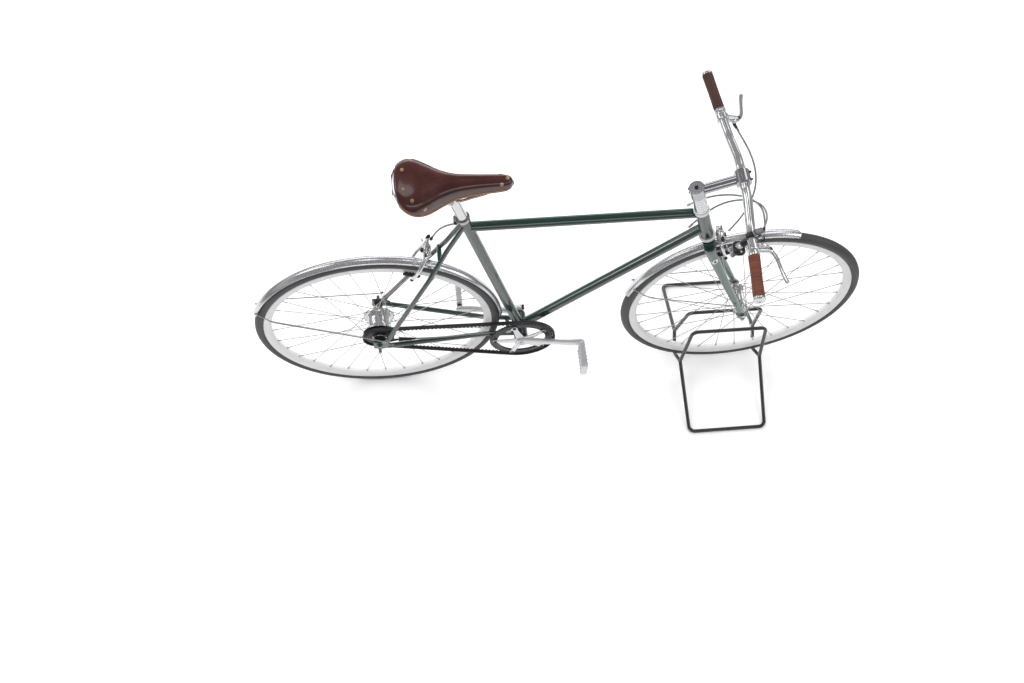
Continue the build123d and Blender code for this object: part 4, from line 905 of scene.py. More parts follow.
def saddleGrid(inset):
    # along: the width, drop and skirt run smoothly through the sections, the width closing in a
    # quarter circle at both ends; across: a smooth line from one lower edge over the crown to the other
    s = saddleSettings
    back, half, drop, skirt = curveThrough(s["sections"], 140).T
    nose = rounded(back, s["noseRound"])
    tail = rounded(back[-1] - back, s["tailRound"])
    width = (half - inset) * np.maximum(nose * tail, s["narrowest"])
    crown = s["top"] - drop - inset - s["noseDrop"] * (1 - nose) - s["tailDrop"] * (1 - tail)
    low = s["top"] - drop - skirt
    line = curveThrough(s["across"] + [(-a, b) for a, b in s["across"][-2::-1]], 61)
    grid = np.zeros((len(back), len(line), 3))
    grid[:, :, 0] = (s["noseX"] - back + inset * s["endInset"] * (2 - nose - tail))[:, None]
    grid[:, :, 1] = width[:, None] * line[None, :, 0]
    grid[:, :, 2] = low[:, None] + (crown - low)[:, None] * line[None, :, 1]
    return grid * mm


def sheet(grid, mark):
    # an open surface over a grid
    return skin(grid, wrapCols=False, lids=False, mark=mark)


def drawSaddle():
    # an outer and an inner grid joined round the edge, whose lower columns show the cut leather, and a
    # rounded bead along both lower edges
    s = saddleSettings
    outer, inner = saddleGrid(0.0), saddleGrid(s["leather"])
    cut = s["cutColumns"]
    chunks = [sheet(outer[:, cut:-cut], 0), sheet(inner, 1), sheet(outer[:, :cut + 1], 1),
              sheet(outer[:, -cut - 1:], 1)]
    for column in (0, -1):
        bead = outer[slice(*s["beadRows"]), column] + upward * s["beadRise"] * mm
        chunks.append(sweep(bead, *s["beadHalf"], upward, ends=5, power=0.8, count=110, sides=12, mark=1))
        lip = (outer[:, column] + inner[:, column]) / 2 - upward * s["lipBelow"] * mm
        chunks.append(sheet(np.stack([outer[:, column], lip, inner[:, column]], axis=1), 1))
    chunks += [sheet(np.stack([outer[row], inner[row]]), 0) for row in (0, -1)]
    piece("saddleTop", chunks, [leather, edgeLeather], "frame", ["saddle"], sharp=48)
    return outer


saddleOuter = drawSaddle()


def surfacePlace(grid, x, y):
    # the place on a gridded top nearest to the given x and y, and the outward direction there
    inner = grid[1:-1, 1:-1]
    gap = (inner[:, :, 0] - x) ** 2 + (inner[:, :, 1] - y) ** 2
    i, j = np.unravel_index(np.argmin(gap), gap.shape)
    i, j = i + 1, j + 1
    normal = unit(np.cross(grid[i + 1, j] - grid[i - 1, j], grid[i, j + 1] - grid[i, j - 1]))
    return grid[i, j], normal if normal[2] > 0 else -normal


rivetSettings = {
    "places": [(-417, 27), (-417, -27), (-399, -56), (-399, 56), (-370, -64), (-370, 64), (-178, 0),
               (-192, -14), (-192, 14)],
    # shares of the height and radius, turned into a low dome
    "dome": [(-1, 0.96), (0, 1), (0.45, 0.93), (0.85, 0.6), (1, 0.25), (1, 0)],
    "radius": 4.8, "height": 1.4,
}
rivets = []
for x, y in rivetSettings["places"]:
    dome = np.array(rivetSettings["dome"]) * (rivetSettings["height"], rivetSettings["radius"])
    rivets.append(lathe(dome, *surfacePlace(saddleOuter, x * mm, y * mm), 20))
piece("saddleRivets", rivets, [brass], "frame")

saddleMetal = {
    "cantle": [(-424, -52, 1003), (-436, -36, 1003), (-440.5, -18, 1003), (-441.5, 0, 1003),
               (-440.5, 18, 1003), (-436, 36, 1003), (-424, 52, 1003)],
    "cantleHalf": (1.1, 7.5),
    "slots": (-22, 22), "slotHalf": (1.0, 2.6),
    "slot": [(-441.4, -8, 1003), (-442.3, 0, 1003), (-441.6, 8, 1003)],
    "noseBolt": (-186, 0, 974), "noseWay": (1, 0, -0.2), "noseHead": (4.0, 3),
    "noseRod": [(-232, 0, 973), (-188, 0, 975)], "noseRodRadius": 3.0,
    "clamp": (-308.15, 0, 957), "clampBolt": (5.4, 3), "clampHead": 28.6,
    "clampRing": [(25, 6), (25, 12), (26.5, 12.4), (28.4, 12), (28.8, 10), (28.8, 6)],
}
s = saddleMetal
cantlePath = route(s["cantle"], 60)
cantle = [sweep(cantlePath, *s["cantleHalf"], upward, ends=4, power=0.5, count=60, sides=16)]
for aside in s["slots"]:
    slot = route(np.array(s["slot"]) + (0, aside, 0), 20)
    cantle.append(sweep(slot, *s["slotHalf"], upward, ends=2.4, power=0.8, count=16, sides=12, mark=1))
piece("saddleCantle", cantle, [steel, blackMetal], "frame")
noseBolt = [boltHead(spots(s["noseBolt"])[0], s["noseWay"], *s["noseHead"])]
noseBolt.append(sweep(spots(*s["noseRod"]), s["noseRodRadius"], s["noseRodRadius"], upward, count=8))
piece("saddleTension", noseBolt, [steel], "frame")
clampBolts = []
for side in (-1, 1):
    out, middle = sideways * side, spots(s["clamp"])[0]
    clampBolts.append(ringLathe(s["clampRing"], middle, out, 40))
    clampBolts.append(boltHead(middle + out * s["clampHead"] * mm, out, *s["clampBolt"]))
piece("seatpostClamp", clampBolts, [alloy], "frame")
print("saddle built")

# handlebar fittings
barKnee = vec(379.5, 130, 944.4) * mm
barEnd = vec(359.3, 322, 949.7) * mm


def barPoint(y):
    # a place on the bar's straight outer run, by its even share of it; y below zero is the right side
    share = (abs(y) * mm - barKnee[1]) / (barEnd[1] - barKnee[1])
    place = barKnee + (barEnd - barKnee) * share
    return place if y > 0 else place * (1, -1, 1)


gripSettings = {
    "start": 213, "end": 322, "radius": 13.4, "groove": 0.5, "waist": 0.25, "bore": 11.2, "perRing": 9,
    "collar": [(0, 11.2), (0, 13.6), (0.8, 14.5), (5.2, 14.5), (6.4, 14.2), (6.4, 11.2)], "collarFrom": 206.5,
    "capFrom": 322.1, "capTo": 330, "capStart": [(0, 11), (0, 13.8), (0.7, 14.0)],
    "capEnd": [(-2.2, 14.0), (-0.7, 13.2), (-0.1, 11), (-0.1, 6), (-1.3, 5), (-1.3, 0)],
}


def grip(name, side, material):
    # round washers stacked along the bar, each dipping by a sixth power at its edges, and the stack
    # slightly waisted by a cosine
    s = gripSettings
    start, end = barPoint(side * s["start"]), barPoint(side * s["end"])
    length = np.linalg.norm(end - start) / mm
    along = np.linspace(0, length, s["perRing"] * round(length / stackSettings["pitch"]) + 1)
    share = (along / stackSettings["pitch"]) % 1
    radius = s["radius"] - s["groove"] * np.abs(2 * share - 1) ** 6
    radius = radius + s["waist"] * np.cos(2 * np.pi * along / length)
    profile = np.vstack([(0, s["bore"]), np.stack([along, radius], 1), (length, s["bore"])])
    piece(name, [lathe(profile, start, end - start, 40)], [material], "front", ["grips"], sharp=60)


def gripEnds():
    # a turned collar at each grip's inner end and a turned cap at its outer one
    s = gripSettings
    chunks = []
    for side in (-1, 1):
        start, end = barPoint(side * s["collarFrom"]), barPoint(side * s["start"])
        chunks.append(ringLathe(s["collar"], start, end - start, 40))
        start, end = barPoint(side * s["capFrom"]), barPoint(side * s["capTo"])
        length = np.linalg.norm(end - start) / mm
        cap = s["capStart"] + [(length + a, r) for a, r in s["capEnd"]]
        chunks.append(lathe(cap, start, end - start, 40))
    piece("gripEnds", chunks, [alloy], "front", ["grip_ends"])


# the left grip takes the darker copy as painted shade, and the right grip the lighter copy as painted light
grip("leftGrip", 1, gripLeatherPaintedShade)
grip("rightGrip", -1, gripLeatherPaintedLight)
gripEnds()


def knurled(length, radius, depth, pitch, steps):
    # a barrel whose radius is a cosine of the distance along
    along = np.linspace(0, length, steps)
    return np.stack([along, radius + depth * np.cos(2 * np.pi * along / pitch)], 1)


leverSettings = {
    "clampFrom": 183, "clampTo": 197, "clampMiddle": 190, "pivot": (414, 190, 938),
    "clamp": [(0, 11.2), (0, 14.4), (1, 15.4), (13, 15.4), (14, 14.4), (14, 11.2)],
    "armFrom": (9, 0, -2), "armTo": (3, 2, 0), "armWide": (9.5, 8, 6.5), "armTall": (8.5, 7.5, 6.5),
    "bracket": [(396, 176, 942), (404, 184, 940), (413, 191, 938), (421, 197, 936)],
    "bracketWide": (6, 7.5, 7.5, 5), "bracketTall": (6, 6.8, 6.6, 4.6),
    "blade": [(411, 186, 937), (421, 198, 935.5), (428, 214, 934), (433, 240, 931), (437.5, 262, 929.5),
              (442, 277, 928)],
    "bladeWide": (5.2, 5.4, 4.8, 4.6, 5.0, 5.6), "bladeTall": (4.4, 3.4, 2.5, 2.2, 2.3, 2.8),
    "bladeUp": (0.1, 0.05, 1), "adjuster": (400, 189, 942), "knurl": (12, 4.6, 0.35, 1.5, 49),
    "adjusterTip": [(12.4, 3.2), (16, 3.2), (16, 2.2)],
    "boot": [(0, 2.4), (0, 4.2), (3, 4.4), (5, 3.7), (7, 4.0), (9, 3.4), (11, 3.6), (14, 2.9), (22, 2.6),
             (22, 2.3)],
    "bootPlace": (400, 173, 942), "bootWay": (0.42, -0.86, -0.25),
    "pivotHead": (1, 1, 5.6), "pivotWay": (0.05, 0, 1), "pivotBolt": (4.4, 2.2),
    "clampHead": (-2, 0, -15.6), "clampBolt": (3.2, 2.4),
}


def brakeLever(name, side):
    # split clamp with its bolt, bracket to the pivot, a tapering blade and a knurled barrel with a boot,
    # worked out for the left side and mirrored for the right
    s = leverSettings
    start, end = barPoint(s["clampFrom"]), barPoint(s["clampTo"])
    middle, pivot = barPoint(s["clampMiddle"]), spots(s["pivot"])[0]
    arm = [middle + vec(*s["armFrom"]) * mm, pivot + vec(*s["armTo"]) * mm]
    bracket, blade = route(s["bracket"], 30), route(s["blade"], 80)
    knurl = np.vstack([(0, 2), knurled(*s["knurl"]), s["adjusterTip"]])
    chunks = [
        ringLathe(s["clamp"], start, end - start, 40),
        sweep(arm, s["armWide"], s["armTall"], upward, ends=4, power=0.6, count=20),
        sweep(bracket, s["bracketWide"], s["bracketTall"], upward, ends=4, power=0.7, count=30),
        sweep(blade, s["bladeWide"], s["bladeTall"], s["bladeUp"], ends=4, power=0.8, count=70, sides=24),
        lathe(knurl, spots(s["adjuster"])[0], -sideways, 28),
        boltHead(pivot + vec(*s["pivotHead"]) * mm, s["pivotWay"], *s["pivotBolt"], mark=1),
        boltHead(middle + vec(*s["clampHead"]) * mm, -upward, *s["clampBolt"], mark=1),
        ringLathe(s["boot"], spots(s["bootPlace"])[0], s["bootWay"], 24, mark=2),
    ]
    chunks = [(points * (1, side, 1), faces, mark) for points, faces, mark in chunks]
    piece(name, chunks, [alloy, blackMetal, padRubber], "front", ["brake_levers"], sharp=40)


brakeLever("leftLever", 1)
brakeLever("rightLever", -1)

shifterSettings = {
    "clampFrom": -151, "clampTo": -165,
    "clamp": [(0, 11.2), (0, 14.6), (1, 15.4), (13, 15.4), (14, 14.6), (14, 11.2)],
    "pod": [(352, -150, 919), (350, -170, 918), (350, -190, 919)], "podHalf": (15, 8),
    "neck": [(381, -158, 943), (368, -160, 932), (356, -164, 922)], "neckHalf": (9, 7),
    "hood": [(378, -158, 956), (388, -155, 957), (398, -150, 952), (405, -146, 946)],
    "hoodWide": (9, 11, 9, 4.6), "hoodTall": (4, 5.6, 5, 4.4),
    "triggers": [(-178, 908), (-162, 906)], "trigger": [(356, 4, 5), (342, 0, 1), (330, -5, -1)],
    "triggerWide": (5, 6, 7), "triggerTall": (2.6, 2.2, 2.4),
    "window": [(378, -158.5, 962.5), (400, -151, 960.5)], "windowHalf": (7.6, 5.4),
    "bezel": [(376.5, -159, 959.6), (402, -150.4, 957.4)], "bezelHalf": (8.8, 2.2),
    "pointer": [(396, -149.5, 966.1), (399, -148.4, 965.6)], "pointerHalf": (2.4, 0.8),
    "collar": [(7.6, 6), (7.6, 9.2), (8.6, 8.8), (9.0, 7.6), (9.0, 6)], "collarPlace": (350, -168, 918.5),
    # place, direction, radius and height of each screw
    "screws": [((350, -168, 926.2), (0, 0, 1), 5.2, 2.0), ((352, -184, 925.6), (0, 0, 1), 2.6, 1.6),
               ((360, -157, 929), (-0.3, 0, 1), 3.0, 1.8)],
}


def drawShifter():
    # clamp ring, a rounded body under the bar, an oval window on top with its bezel, and two triggers
    s = shifterSettings
    start, end = barPoint(s["clampFrom"]), barPoint(s["clampTo"])
    pod, neck, hood = route(s["pod"], 40), route(s["neck"], 20), route(s["hood"], 30)
    chunks = [
        ringLathe(s["clamp"], start, end - start, 40),
        sweep(pod, *s["podHalf"], upward, ends=12, power=0.75, count=30, sides=28),
        sweep(neck, *s["neckHalf"], upward, ends=3, power=0.7, count=20),
        sweep(hood, s["hoodWide"], s["hoodTall"], upward, ends=4, power=0.8, count=30, sides=28),
    ]
    for y, z in s["triggers"]:
        trigger = route(np.array(s["trigger"]) + (0, y, z), 20)
        chunks.append(sweep(trigger, s["triggerWide"], s["triggerTall"], upward, ends=3, power=0.8, count=20,
                            mark=3))
    window, bezel, pointer = spots(*s["window"]), spots(*s["bezel"]), spots(*s["pointer"])
    chunks += [
        sweep(window, *s["windowHalf"], upward, ends=2.2, power=0.45, count=12, sides=32, mark=1),
        sweep(bezel, *s["bezelHalf"], upward, ends=2, power=0.5, count=12, sides=32, mark=3),
        sweep(pointer, *s["pointerHalf"], upward, ends=0.6, power=0.7, count=6, sides=12, mark=2),
        ringLathe(s["collar"], spots(s["collarPlace"])[0], upward, 32, mark=3),
    ]
    for place, way, radius, height in s["screws"]:
        chunks.append(boltHead(spots(place)[0], way, radius, height, mark=3))
    piece("gearShifter", chunks, [plastic, windowGrey, redMark, alloy], "front", ["gear_shifter"],
          sharp=40)


drawShifter()

stemSettings = {
    "capHeight": 615.2, "capBolt": (5.0, 3.0),
    "face": (400.6, 10.5, 957), "faceRise": 9.5, "faceWay": (1, 0, 0.12), "faceBolt": (3.3, 3.4),
    "pinch": (591, 607), "pinchPlace": (-17.5, 6), "pinchWay": (-0.9, 0.35, -0.3), "pinchBolt": (3.4, 3.6),
}
s = stemSettings
stemTrim = [boltHead(steerPoint(s["capHeight"]), steerUp, *s["capBolt"], mark=1)]
for side in (-1, 1):
    for rise in (-1, 1):
        face = vec(s["face"][0], side * s["face"][1], s["face"][2] + rise * s["faceRise"]) * mm
        stemTrim.append(boltHead(face, s["faceWay"], *s["faceBolt"], mark=1))
for height in s["pinch"]:
    stemTrim.append(boltHead(steerPoint(height, *s["pinchPlace"]), s["pinchWay"], *s["pinchBolt"], mark=1))
piece("stemTrim", stemTrim, [alloy, blackMetal], "front")

headsetSettings = {
    "edges": [517.1, 528, 539, 550, 561, 572, 582.9], "gap": 0.05,
    "bore": 14.4, "spacer": 17, "bevel": (0.6, 0.55),
    "race": [(381.1, 14.4), (381.1, 18.3), (382, 18.6), (383.6, 18.6), (384.4, 17.4), (384.4, 14.4)],
    # low edge, high edge and radius of each cup
    "cups": [(385.5, 392.9, 21.6), (508.1, 516.0, 20.2)], "cupBore": 14.5, "cupBevel": (0.9, 0.9),
}


def bevelledRing(low, high, bore, radius, bevel, bevelLong):
    # the section of a ring with its two outer edges cut off
    edge = radius - bevel
    return [(low, bore), (low, edge), (low + bevelLong, radius), (high - bevelLong, radius), (high, edge),
            (high, bore)]


s = headsetSettings
spacerChunks = []
for low, high in zip(s["edges"], s["edges"][1:]):
    ring = bevelledRing(low + s["gap"], high - s["gap"], s["bore"], s["spacer"], *s["bevel"])
    spacerChunks.append(ringLathe(ring, steerFoot, steerUp, 48))
spacerChunks.append(ringLathe(s["race"], steerFoot, steerUp, 48, mark=1))
piece("headsetSpacers", spacerChunks, [alloy, blackMetal], "front", ["headset_spacers"])
cupChunks = []
for low, high, radius in s["cups"]:
    ring = bevelledRing(low, high, s["cupBore"], radius, *s["cupBevel"])
    cupChunks.append(ringLathe(ring, steerFoot, steerUp, 56))
piece("headsetCups", cupChunks, [satinAlloy], "frame", ["headset_cups"])
print("bar built")

# rim brakes: places are given across, up and outward from the mounting bolt; the lower ends of the arms
# are given across, as a share of the reach down to the pads, and outward
brakeSettings = {
    "padAcross": 26.8,
    "outer": [(-26, 20, 2), (-10, 15, 2), (6, 6, 2), (24, -2, 2)], "outerLow": [(36, 0.42, 2), (34, 0.8, 1)],
    "outerWide": (3.6, 4.4, 4.6, 4.2, 3.8, 3.6), "outerTall": (4.2, 5.6, 6.4, 7.2, 7.0, 6),
    "inner": [(24, 13, -5), (8, 10, -5), (-10, 3, -5), (-27, -4, -4)],
    "innerLow": [(-33, 0.5, -2), (-30, 0.8, 0)],
    "innerWide": (3.4, 4.2, 4.4, 4.2, 3.8, 3.6), "innerTall": (4, 5.4, 6, 5.2, 4.4, 5),
    "hub": [(-9, 9.6), (8, 9.6), (9, 8.8), (9, 0)],
    "block": [(-22, 9, 0), (-10, 9, 1), (4, 5, 1), (18, 3, 1), (27, -4, 1)],
    "blockWide": (5, 8, 8.6, 7.4, 5), "blockTall": (6, 8.6, 9.4, 8, 6),
    "hanger": [(22, 4, -4), (4, 2, -5), (-14, 2, -5), (-27, -5, -4)],
    "hangerWide": (5, 7, 7.4, 5), "hangerTall": (5.4, 7.4, 8, 6),
    "pivots": [((0, 0, 9), 6.4, 4.4), ((20, 8, 4), 4.6, 3.2)],
    "padBolt": (5.0, 4.6), "padBoltOut": 3, "padBoltIn": 6, "padBoltRadius": 3.2,
    "knurl": (11, 4.3, 0.4, 1.6, 45), "knurlTip": [(11.2, 3), (15, 3), (15, 2.2)], "adjuster": (-26, 17, 2),
    "wire": [(-26, 6, 2), (-26, 19, 2)], "wireRadius": 1.1,
    "release": [(-26, 2, 6), (-31, -1, 8), (-36, -5, 8)], "releaseWide": (3, 3.6, 3), "releaseTall": 1.6,
}


def dualPivot(name, bolt, outward, up, reach, node, body):
    # two curved arms cross over the mounting bolt; the right one carries the second pivot, the cable
    # adjuster and its release, and both end at the pads with a bolt
    s = brakeSettings
    side = np.cross(up, outward)
    ways = np.stack([side, up, outward])

    def place(points):
        # the bolt's place plus each distance times its direction
        return bolt + np.array(points, float) @ ways * mm

    def arm(high, low, end):
        # the upper places, then the lower ones, whose shares are turned into a drop, down to the pad
        low = [(a, -share * reach, d) for a, share, d in low]
        return curveThrough(place(high + low + [(end, -reach, 0)]), 70)

    outer = arm(s["outer"], s["outerLow"], s["padAcross"])
    inner = arm(s["inner"], s["innerLow"], -s["padAcross"])
    block, hanger = curveThrough(place(s["block"]), 40), curveThrough(place(s["hanger"]), 40)
    chunks = [
        sweep(outer, s["outerWide"], s["outerTall"], side, ends=4, power=0.75, count=60, sides=20),
        sweep(inner, s["innerWide"], s["innerTall"], side, ends=4, power=0.75, count=60, sides=20),
        lathe(s["hub"], bolt, outward, 32),
        sweep(block, s["blockWide"], s["blockTall"], side, ends=5, power=0.7, count=40, sides=24),
        sweep(hanger, s["hangerWide"], s["hangerTall"], side, ends=5, power=0.7, count=40, sides=24),
    ]
    for spot, radius, height in s["pivots"]:
        chunks.append(boltHead(place(spot), outward, radius, height, mark=1))
    for way in (-1, 1):
        end = place((way * (s["padAcross"] + 1), -reach, 0))
        head = end + side * way * s["padBoltOut"] * mm
        chunks.append(boltHead(head, side * way, *s["padBolt"], mark=1))
        chunks.append(rods(end - side * way * s["padBoltIn"] * mm, head, s["padBoltRadius"], 14))
    barrel = np.vstack([(0, 2), knurled(*s["knurl"]), s["knurlTip"]])
    chunks.append(lathe(barrel, place(s["adjuster"]), up, 24, mark=1))
    chunks.append(rods(*place(s["wire"]), s["wireRadius"], 10))
    release = curveThrough(place(s["release"]), 20)
    chunks.append(sweep(release, s["releaseWide"], s["releaseTall"], outward, ends=2, count=16))
    piece(name, chunks, [alloy, blackMetal], body, [node], sharp=40)


padSettings = {
    "shifts": (-15, -5, 5, 15), "blockReach": 4.4, "blockOut": 15.4, "blockHalf": (2.6, 5.4),
    "back": [(-24, 18), (-12, 18.6), (0, 19), (12, 18.6), (24, 18)], "backHalf": (2.2, 5.6),
    "wheelRadius": 306.0,
}


def padPair(name, middle, along, up, node, body):
    # each pad is four black blocks in a row, with grooves between, on a curved black back
    s = padSettings
    chunks = []
    for side in (-1, 1):
        out = sideways * side
        for shift in s["shifts"]:
            centre = middle + (along * shift + out * s["blockOut"]) * mm
            reach = along * s["blockReach"] * mm
            block = [centre - reach, centre + reach]
            chunks.append(sweep(block, *s["blockHalf"], up, power=0.4, count=6, sides=16))
        back = curveThrough([middle + (along * x + out * y) * mm for x, y in s["back"]], 24)
        chunks.append(sweep(back, *s["backHalf"], up, ends=3, power=0.5, count=24, sides=16))
    piece(name, chunks, [padRubber], body, [node], sharp=40)


def padHeight(offset):
    # how far up a pad stands, on the circle of the pads' radius, at an offset from the wheel's line
    return math.sqrt(padSettings["wheelRadius"] ** 2 - offset**2)


brakePlaces = {
    "height": 371, "ahead": 34, "stayRun": (210, 0, 454), "bridge": (-340, 0, 700), "boltBack": 38,
}
s = brakePlaces
frontBolt = steerPoint(s["height"], s["ahead"])
frontPad = padHeight(steering["lead"] - s["ahead"])
frontMiddle = steerPoint(frontPad, s["ahead"])
dualPivot("frontCaliper", frontBolt, steerForward, steerUp, s["height"] - frontPad, "front_brake", "front")
padPair("frontPads", frontMiddle, steerForward, steerUp, "front_brake_pads", "front")
stayUp = unit(s["stayRun"])
stayBack = vec(-stayUp[2], 0, stayUp[0])
bridge = spots(s["bridge"])[0]
fromAxle = (bridge - rearAxle) / mm
rearOffset = s["boltBack"] + fromAxle @ stayBack
rearPad = padHeight(rearOffset)
rearBolt = bridge + stayBack * s["boltBack"] * mm
dualPivot("rearCaliper", rearBolt, stayBack, stayUp, fromAxle @ stayUp - rearPad, "rear_brake", "frame")
rearMiddle = rearAxle + (stayUp * rearPad + stayBack * rearOffset) * mm
padPair("rearPads", rearMiddle, stayBack, stayUp, "rear_brake_pads", "frame")
print("brakes built")

# bosses on the fork and the frame
bossDiscs = {
    "fork": [(-3, 8.4), (1.6, 8.2), (2.4, 7.2), (2.4, 0)], "forkPlace": (374.6, -46.2, 656),
    "forkWay": (0.25, -0.9, 0.3), "forkRise": 1.6, "forkBolt": (3.2, 2.2),
    "tube": [(-1, 5.6), (0.8, 5.4), (1.2, 4.8), (1.2, 0)], "tubeFoot": (2, 0, 8), "tubeTop": 434,
    "alongs": (70, 250, 314), "tubeRadius": 13.1, "tubeRise": 1.0, "tubeBolt": (3.4, 2.2),
    "ear": (-299, 0, 846), "earSide": 9, "earBolt": (4.4, 3.2),
}
s = bossDiscs
place, way = spots(s["forkPlace"])[0], unit(s["forkWay"])
forkBoss = [lathe(s["fork"], place, way, 28)]
forkBoss.append(boltHead(place + way * s["forkRise"] * mm, way, *s["forkBolt"], mark=1))
piece("forkBoss", forkBoss, [alloy, blackMetal], "front")
tubeFoot = bottomBracket + vec(*s["tubeFoot"]) * mm
downWay = unit(steerPoint(s["tubeTop"]) - tubeFoot)
downUp = unit(np.cross(downWay, -sideways))
frameBosses = []
for along in s["alongs"]:
    base = tubeFoot + (downWay * along + downUp * s["tubeRadius"]) * mm
    frameBosses.append(lathe(s["tube"], base, downUp, 28))
    frameBosses.append(boltHead(base + downUp * s["tubeRise"] * mm, downUp, *s["tubeBolt"], mark=1))
for side in (-1, 1):
    ear = spots(s["ear"])[0] + sideways * side * s["earSide"] * mm
    frameBosses.append(boltHead(ear, sideways * side, *s["earBolt"], mark=1))
piece("frameBosses", frameBosses, [alloy, blackMetal], "frame")
print("bosses built")

# cables, through places in metres
cableSettings = {"radius": 2.3, "order": 3, "resolution": 10, "round": 4}
cableRoutes = {
    "frontBrakeCable": [
        (0.400, 0.171, 0.942), (0.414, 0.141, 0.934), (0.433, 0.103, 0.918), (0.446, 0.066, 0.894),
        (0.448, 0.034, 0.858), (0.436, 0.014, 0.806), (0.420, 0.006, 0.758), (0.409, 0.009, 0.716)],
    "rearBrakeCableFront": [
        (0.400, -0.171, 0.942), (0.413, -0.140, 0.938), (0.422, -0.104, 0.934), (0.428, -0.066, 0.922),
        (0.418, -0.030, 0.908), (0.394, 0.002, 0.884), (0.358, 0.024, 0.858), (0.318, 0.030, 0.838),
        (0.280, 0.018, 0.829)],
    "shiftCableFront": [
        (0.4028, -0.1464, 0.946), (0.420, -0.122, 0.944), (0.431, -0.086, 0.936), (0.428, -0.048, 0.918),
        (0.408, -0.014, 0.888), (0.380, 0.012, 0.846), (0.356, 0.028, 0.800), (0.330, 0.028, 0.762),
        (0.302, 0.0155, 0.735)],
    "rearBrakeCableBack": [
        (-0.293, 0.002, 0.828), (-0.314, 0.001, 0.827), (-0.334, 0.002, 0.812), (-0.346, 0.008, 0.786),
        (-0.353, 0.016, 0.758), (-0.359, 0.022, 0.734)],
    "shiftCableBack": [
        (-0.146, -0.027, 0.299), (-0.190, -0.0305, 0.304), (-0.250, -0.0345, 0.312), (-0.340, -0.046, 0.326),
        (-0.410, -0.051, 0.338), (-0.464, -0.053, 0.344)],
}


def cableCurve(name, points):
    # a smooth curve pulled by its places, given a round section
    s = cableSettings
    curve = bpy.data.curves.new(name, "CURVE")
    curve.dimensions = "3D"
    spline = curve.splines.new("NURBS")
    spline.points.add(len(points) - 1)
    for point, place in zip(spline.points, points):
        point.co = (*place, 1)
    spline.order_u = s["order"]
    spline.use_endpoint_u = True
    curve.bevel_depth = s["radius"] * mm
    curve.bevel_resolution = s["round"]
    curve.resolution_u = s["resolution"]
    curve.use_fill_caps = True
    curve.materials.append(housing)
    made = bpy.data.objects.new(name, curve)
    bpy.context.scene.collection.objects.link(made)
    return made


def cableMesh(name, points):
    # the same curve turned into a mesh, for the cables between the bar and the frame, which on the real bike
    # bend as the bar turns
    curve = cableCurve(name + "Curve", points)
    bpy.context.view_layer.update()
    ready = curve.evaluated_get(bpy.context.evaluated_depsgraph_get())
    mesh = bpy.data.meshes.new_from_object(ready)
    made = bpy.data.objects.new(name, mesh)
    bpy.context.scene.collection.objects.link(made)
    bpy.data.objects.remove(curve)
    mesh.polygons.foreach_set("use_smooth", np.ones(len(mesh.polygons), bool))
    return made


for name, body, node in [("frontBrakeCable", "front", "front_brake_cable"),
                         ("rearBrakeCableBack", "frame", "frame_cables"),
                         ("shiftCableBack", "frame", "frame_cables")]:
    made = cableCurve(name, cableRoutes[name])
    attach(made, body)
    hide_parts(node)
for name in ("rearBrakeCableFront", "shiftCableFront"):
    made = cableMesh(name, cableRoutes[name])
    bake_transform(made)
    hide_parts("steering_cables")


bootSettings = {"bore": 2.35, "tip": 2.7, "rib": 0.3, "ribPitch": 2.6, "ribbed": 0.55, "steps": 41}
stopSettings = {
    "cap": [(-3, 1.2), (-3, 3.2), (-1, 3.5), (7, 3.5), (8, 2.9), (12, 2.8), (12, 2.3), (0, 2.3)], "steps": 20,
}


def cableEnd(name, atEnd):
    # the place of a cable's end and the direction back along it
    points = np.array(cableRoutes[name])
    if atEnd:
        points = points[::-1]
    return points[0], points[1] - points[0]


def cableBoot(name, atEnd, length, radius=4.0, mark=0):
    # a rubber sleeve that narrows evenly along the cable, its first part ribbed by a cosine
    s = bootSettings
    along = np.linspace(0, length, s["steps"])
    body = radius - (radius - s["tip"]) * along / length
    body = body + s["rib"] * np.cos(2 * np.pi * along / s["ribPitch"]) * (along < s["ribbed"] * length)
    profile = np.vstack([(0, s["bore"]), np.stack([along, body], 1), (length, s["bore"])])
    return lathe(profile, *cableEnd(name, atEnd), 24, mark=mark)


def ferrule(name, atEnd):
    # a small turned cap on the last millimetres of a cable
    return ringLathe(stopSettings["cap"], *cableEnd(name, atEnd), stopSettings["steps"])


boots = [cableBoot("frontBrakeCable", True, 12, 3.3, mark=1), cableBoot("shiftCableFront", False, 16)]
piece("frontCableBoots", boots, [padRubber, alloy], "front")
boots = [cableBoot("rearBrakeCableBack", True, 16), cableBoot("shiftCableBack", True, 46, 6.4)]
piece("frameCableBoots", boots, [padRubber], "frame")
stops = [ferrule("rearBrakeCableFront", True), ferrule("shiftCableFront", True),
         ferrule("rearBrakeCableBack", False), ferrule("shiftCableBack", False)]
piece("cableStops", stops, [alloy], "frame")
print("cables built")

# floor, light and camera
floorSettings = {  # sizes in metres, and how bright it is to the camera, to the rest and far off
    "half": 9.0, "below": -0.0006, "seen": 1.14, "unseen": 0.84, "dark": 0.08,
    "reach": 1.7, "dimOver": 0.5, "fadeOver": 2.6,
}


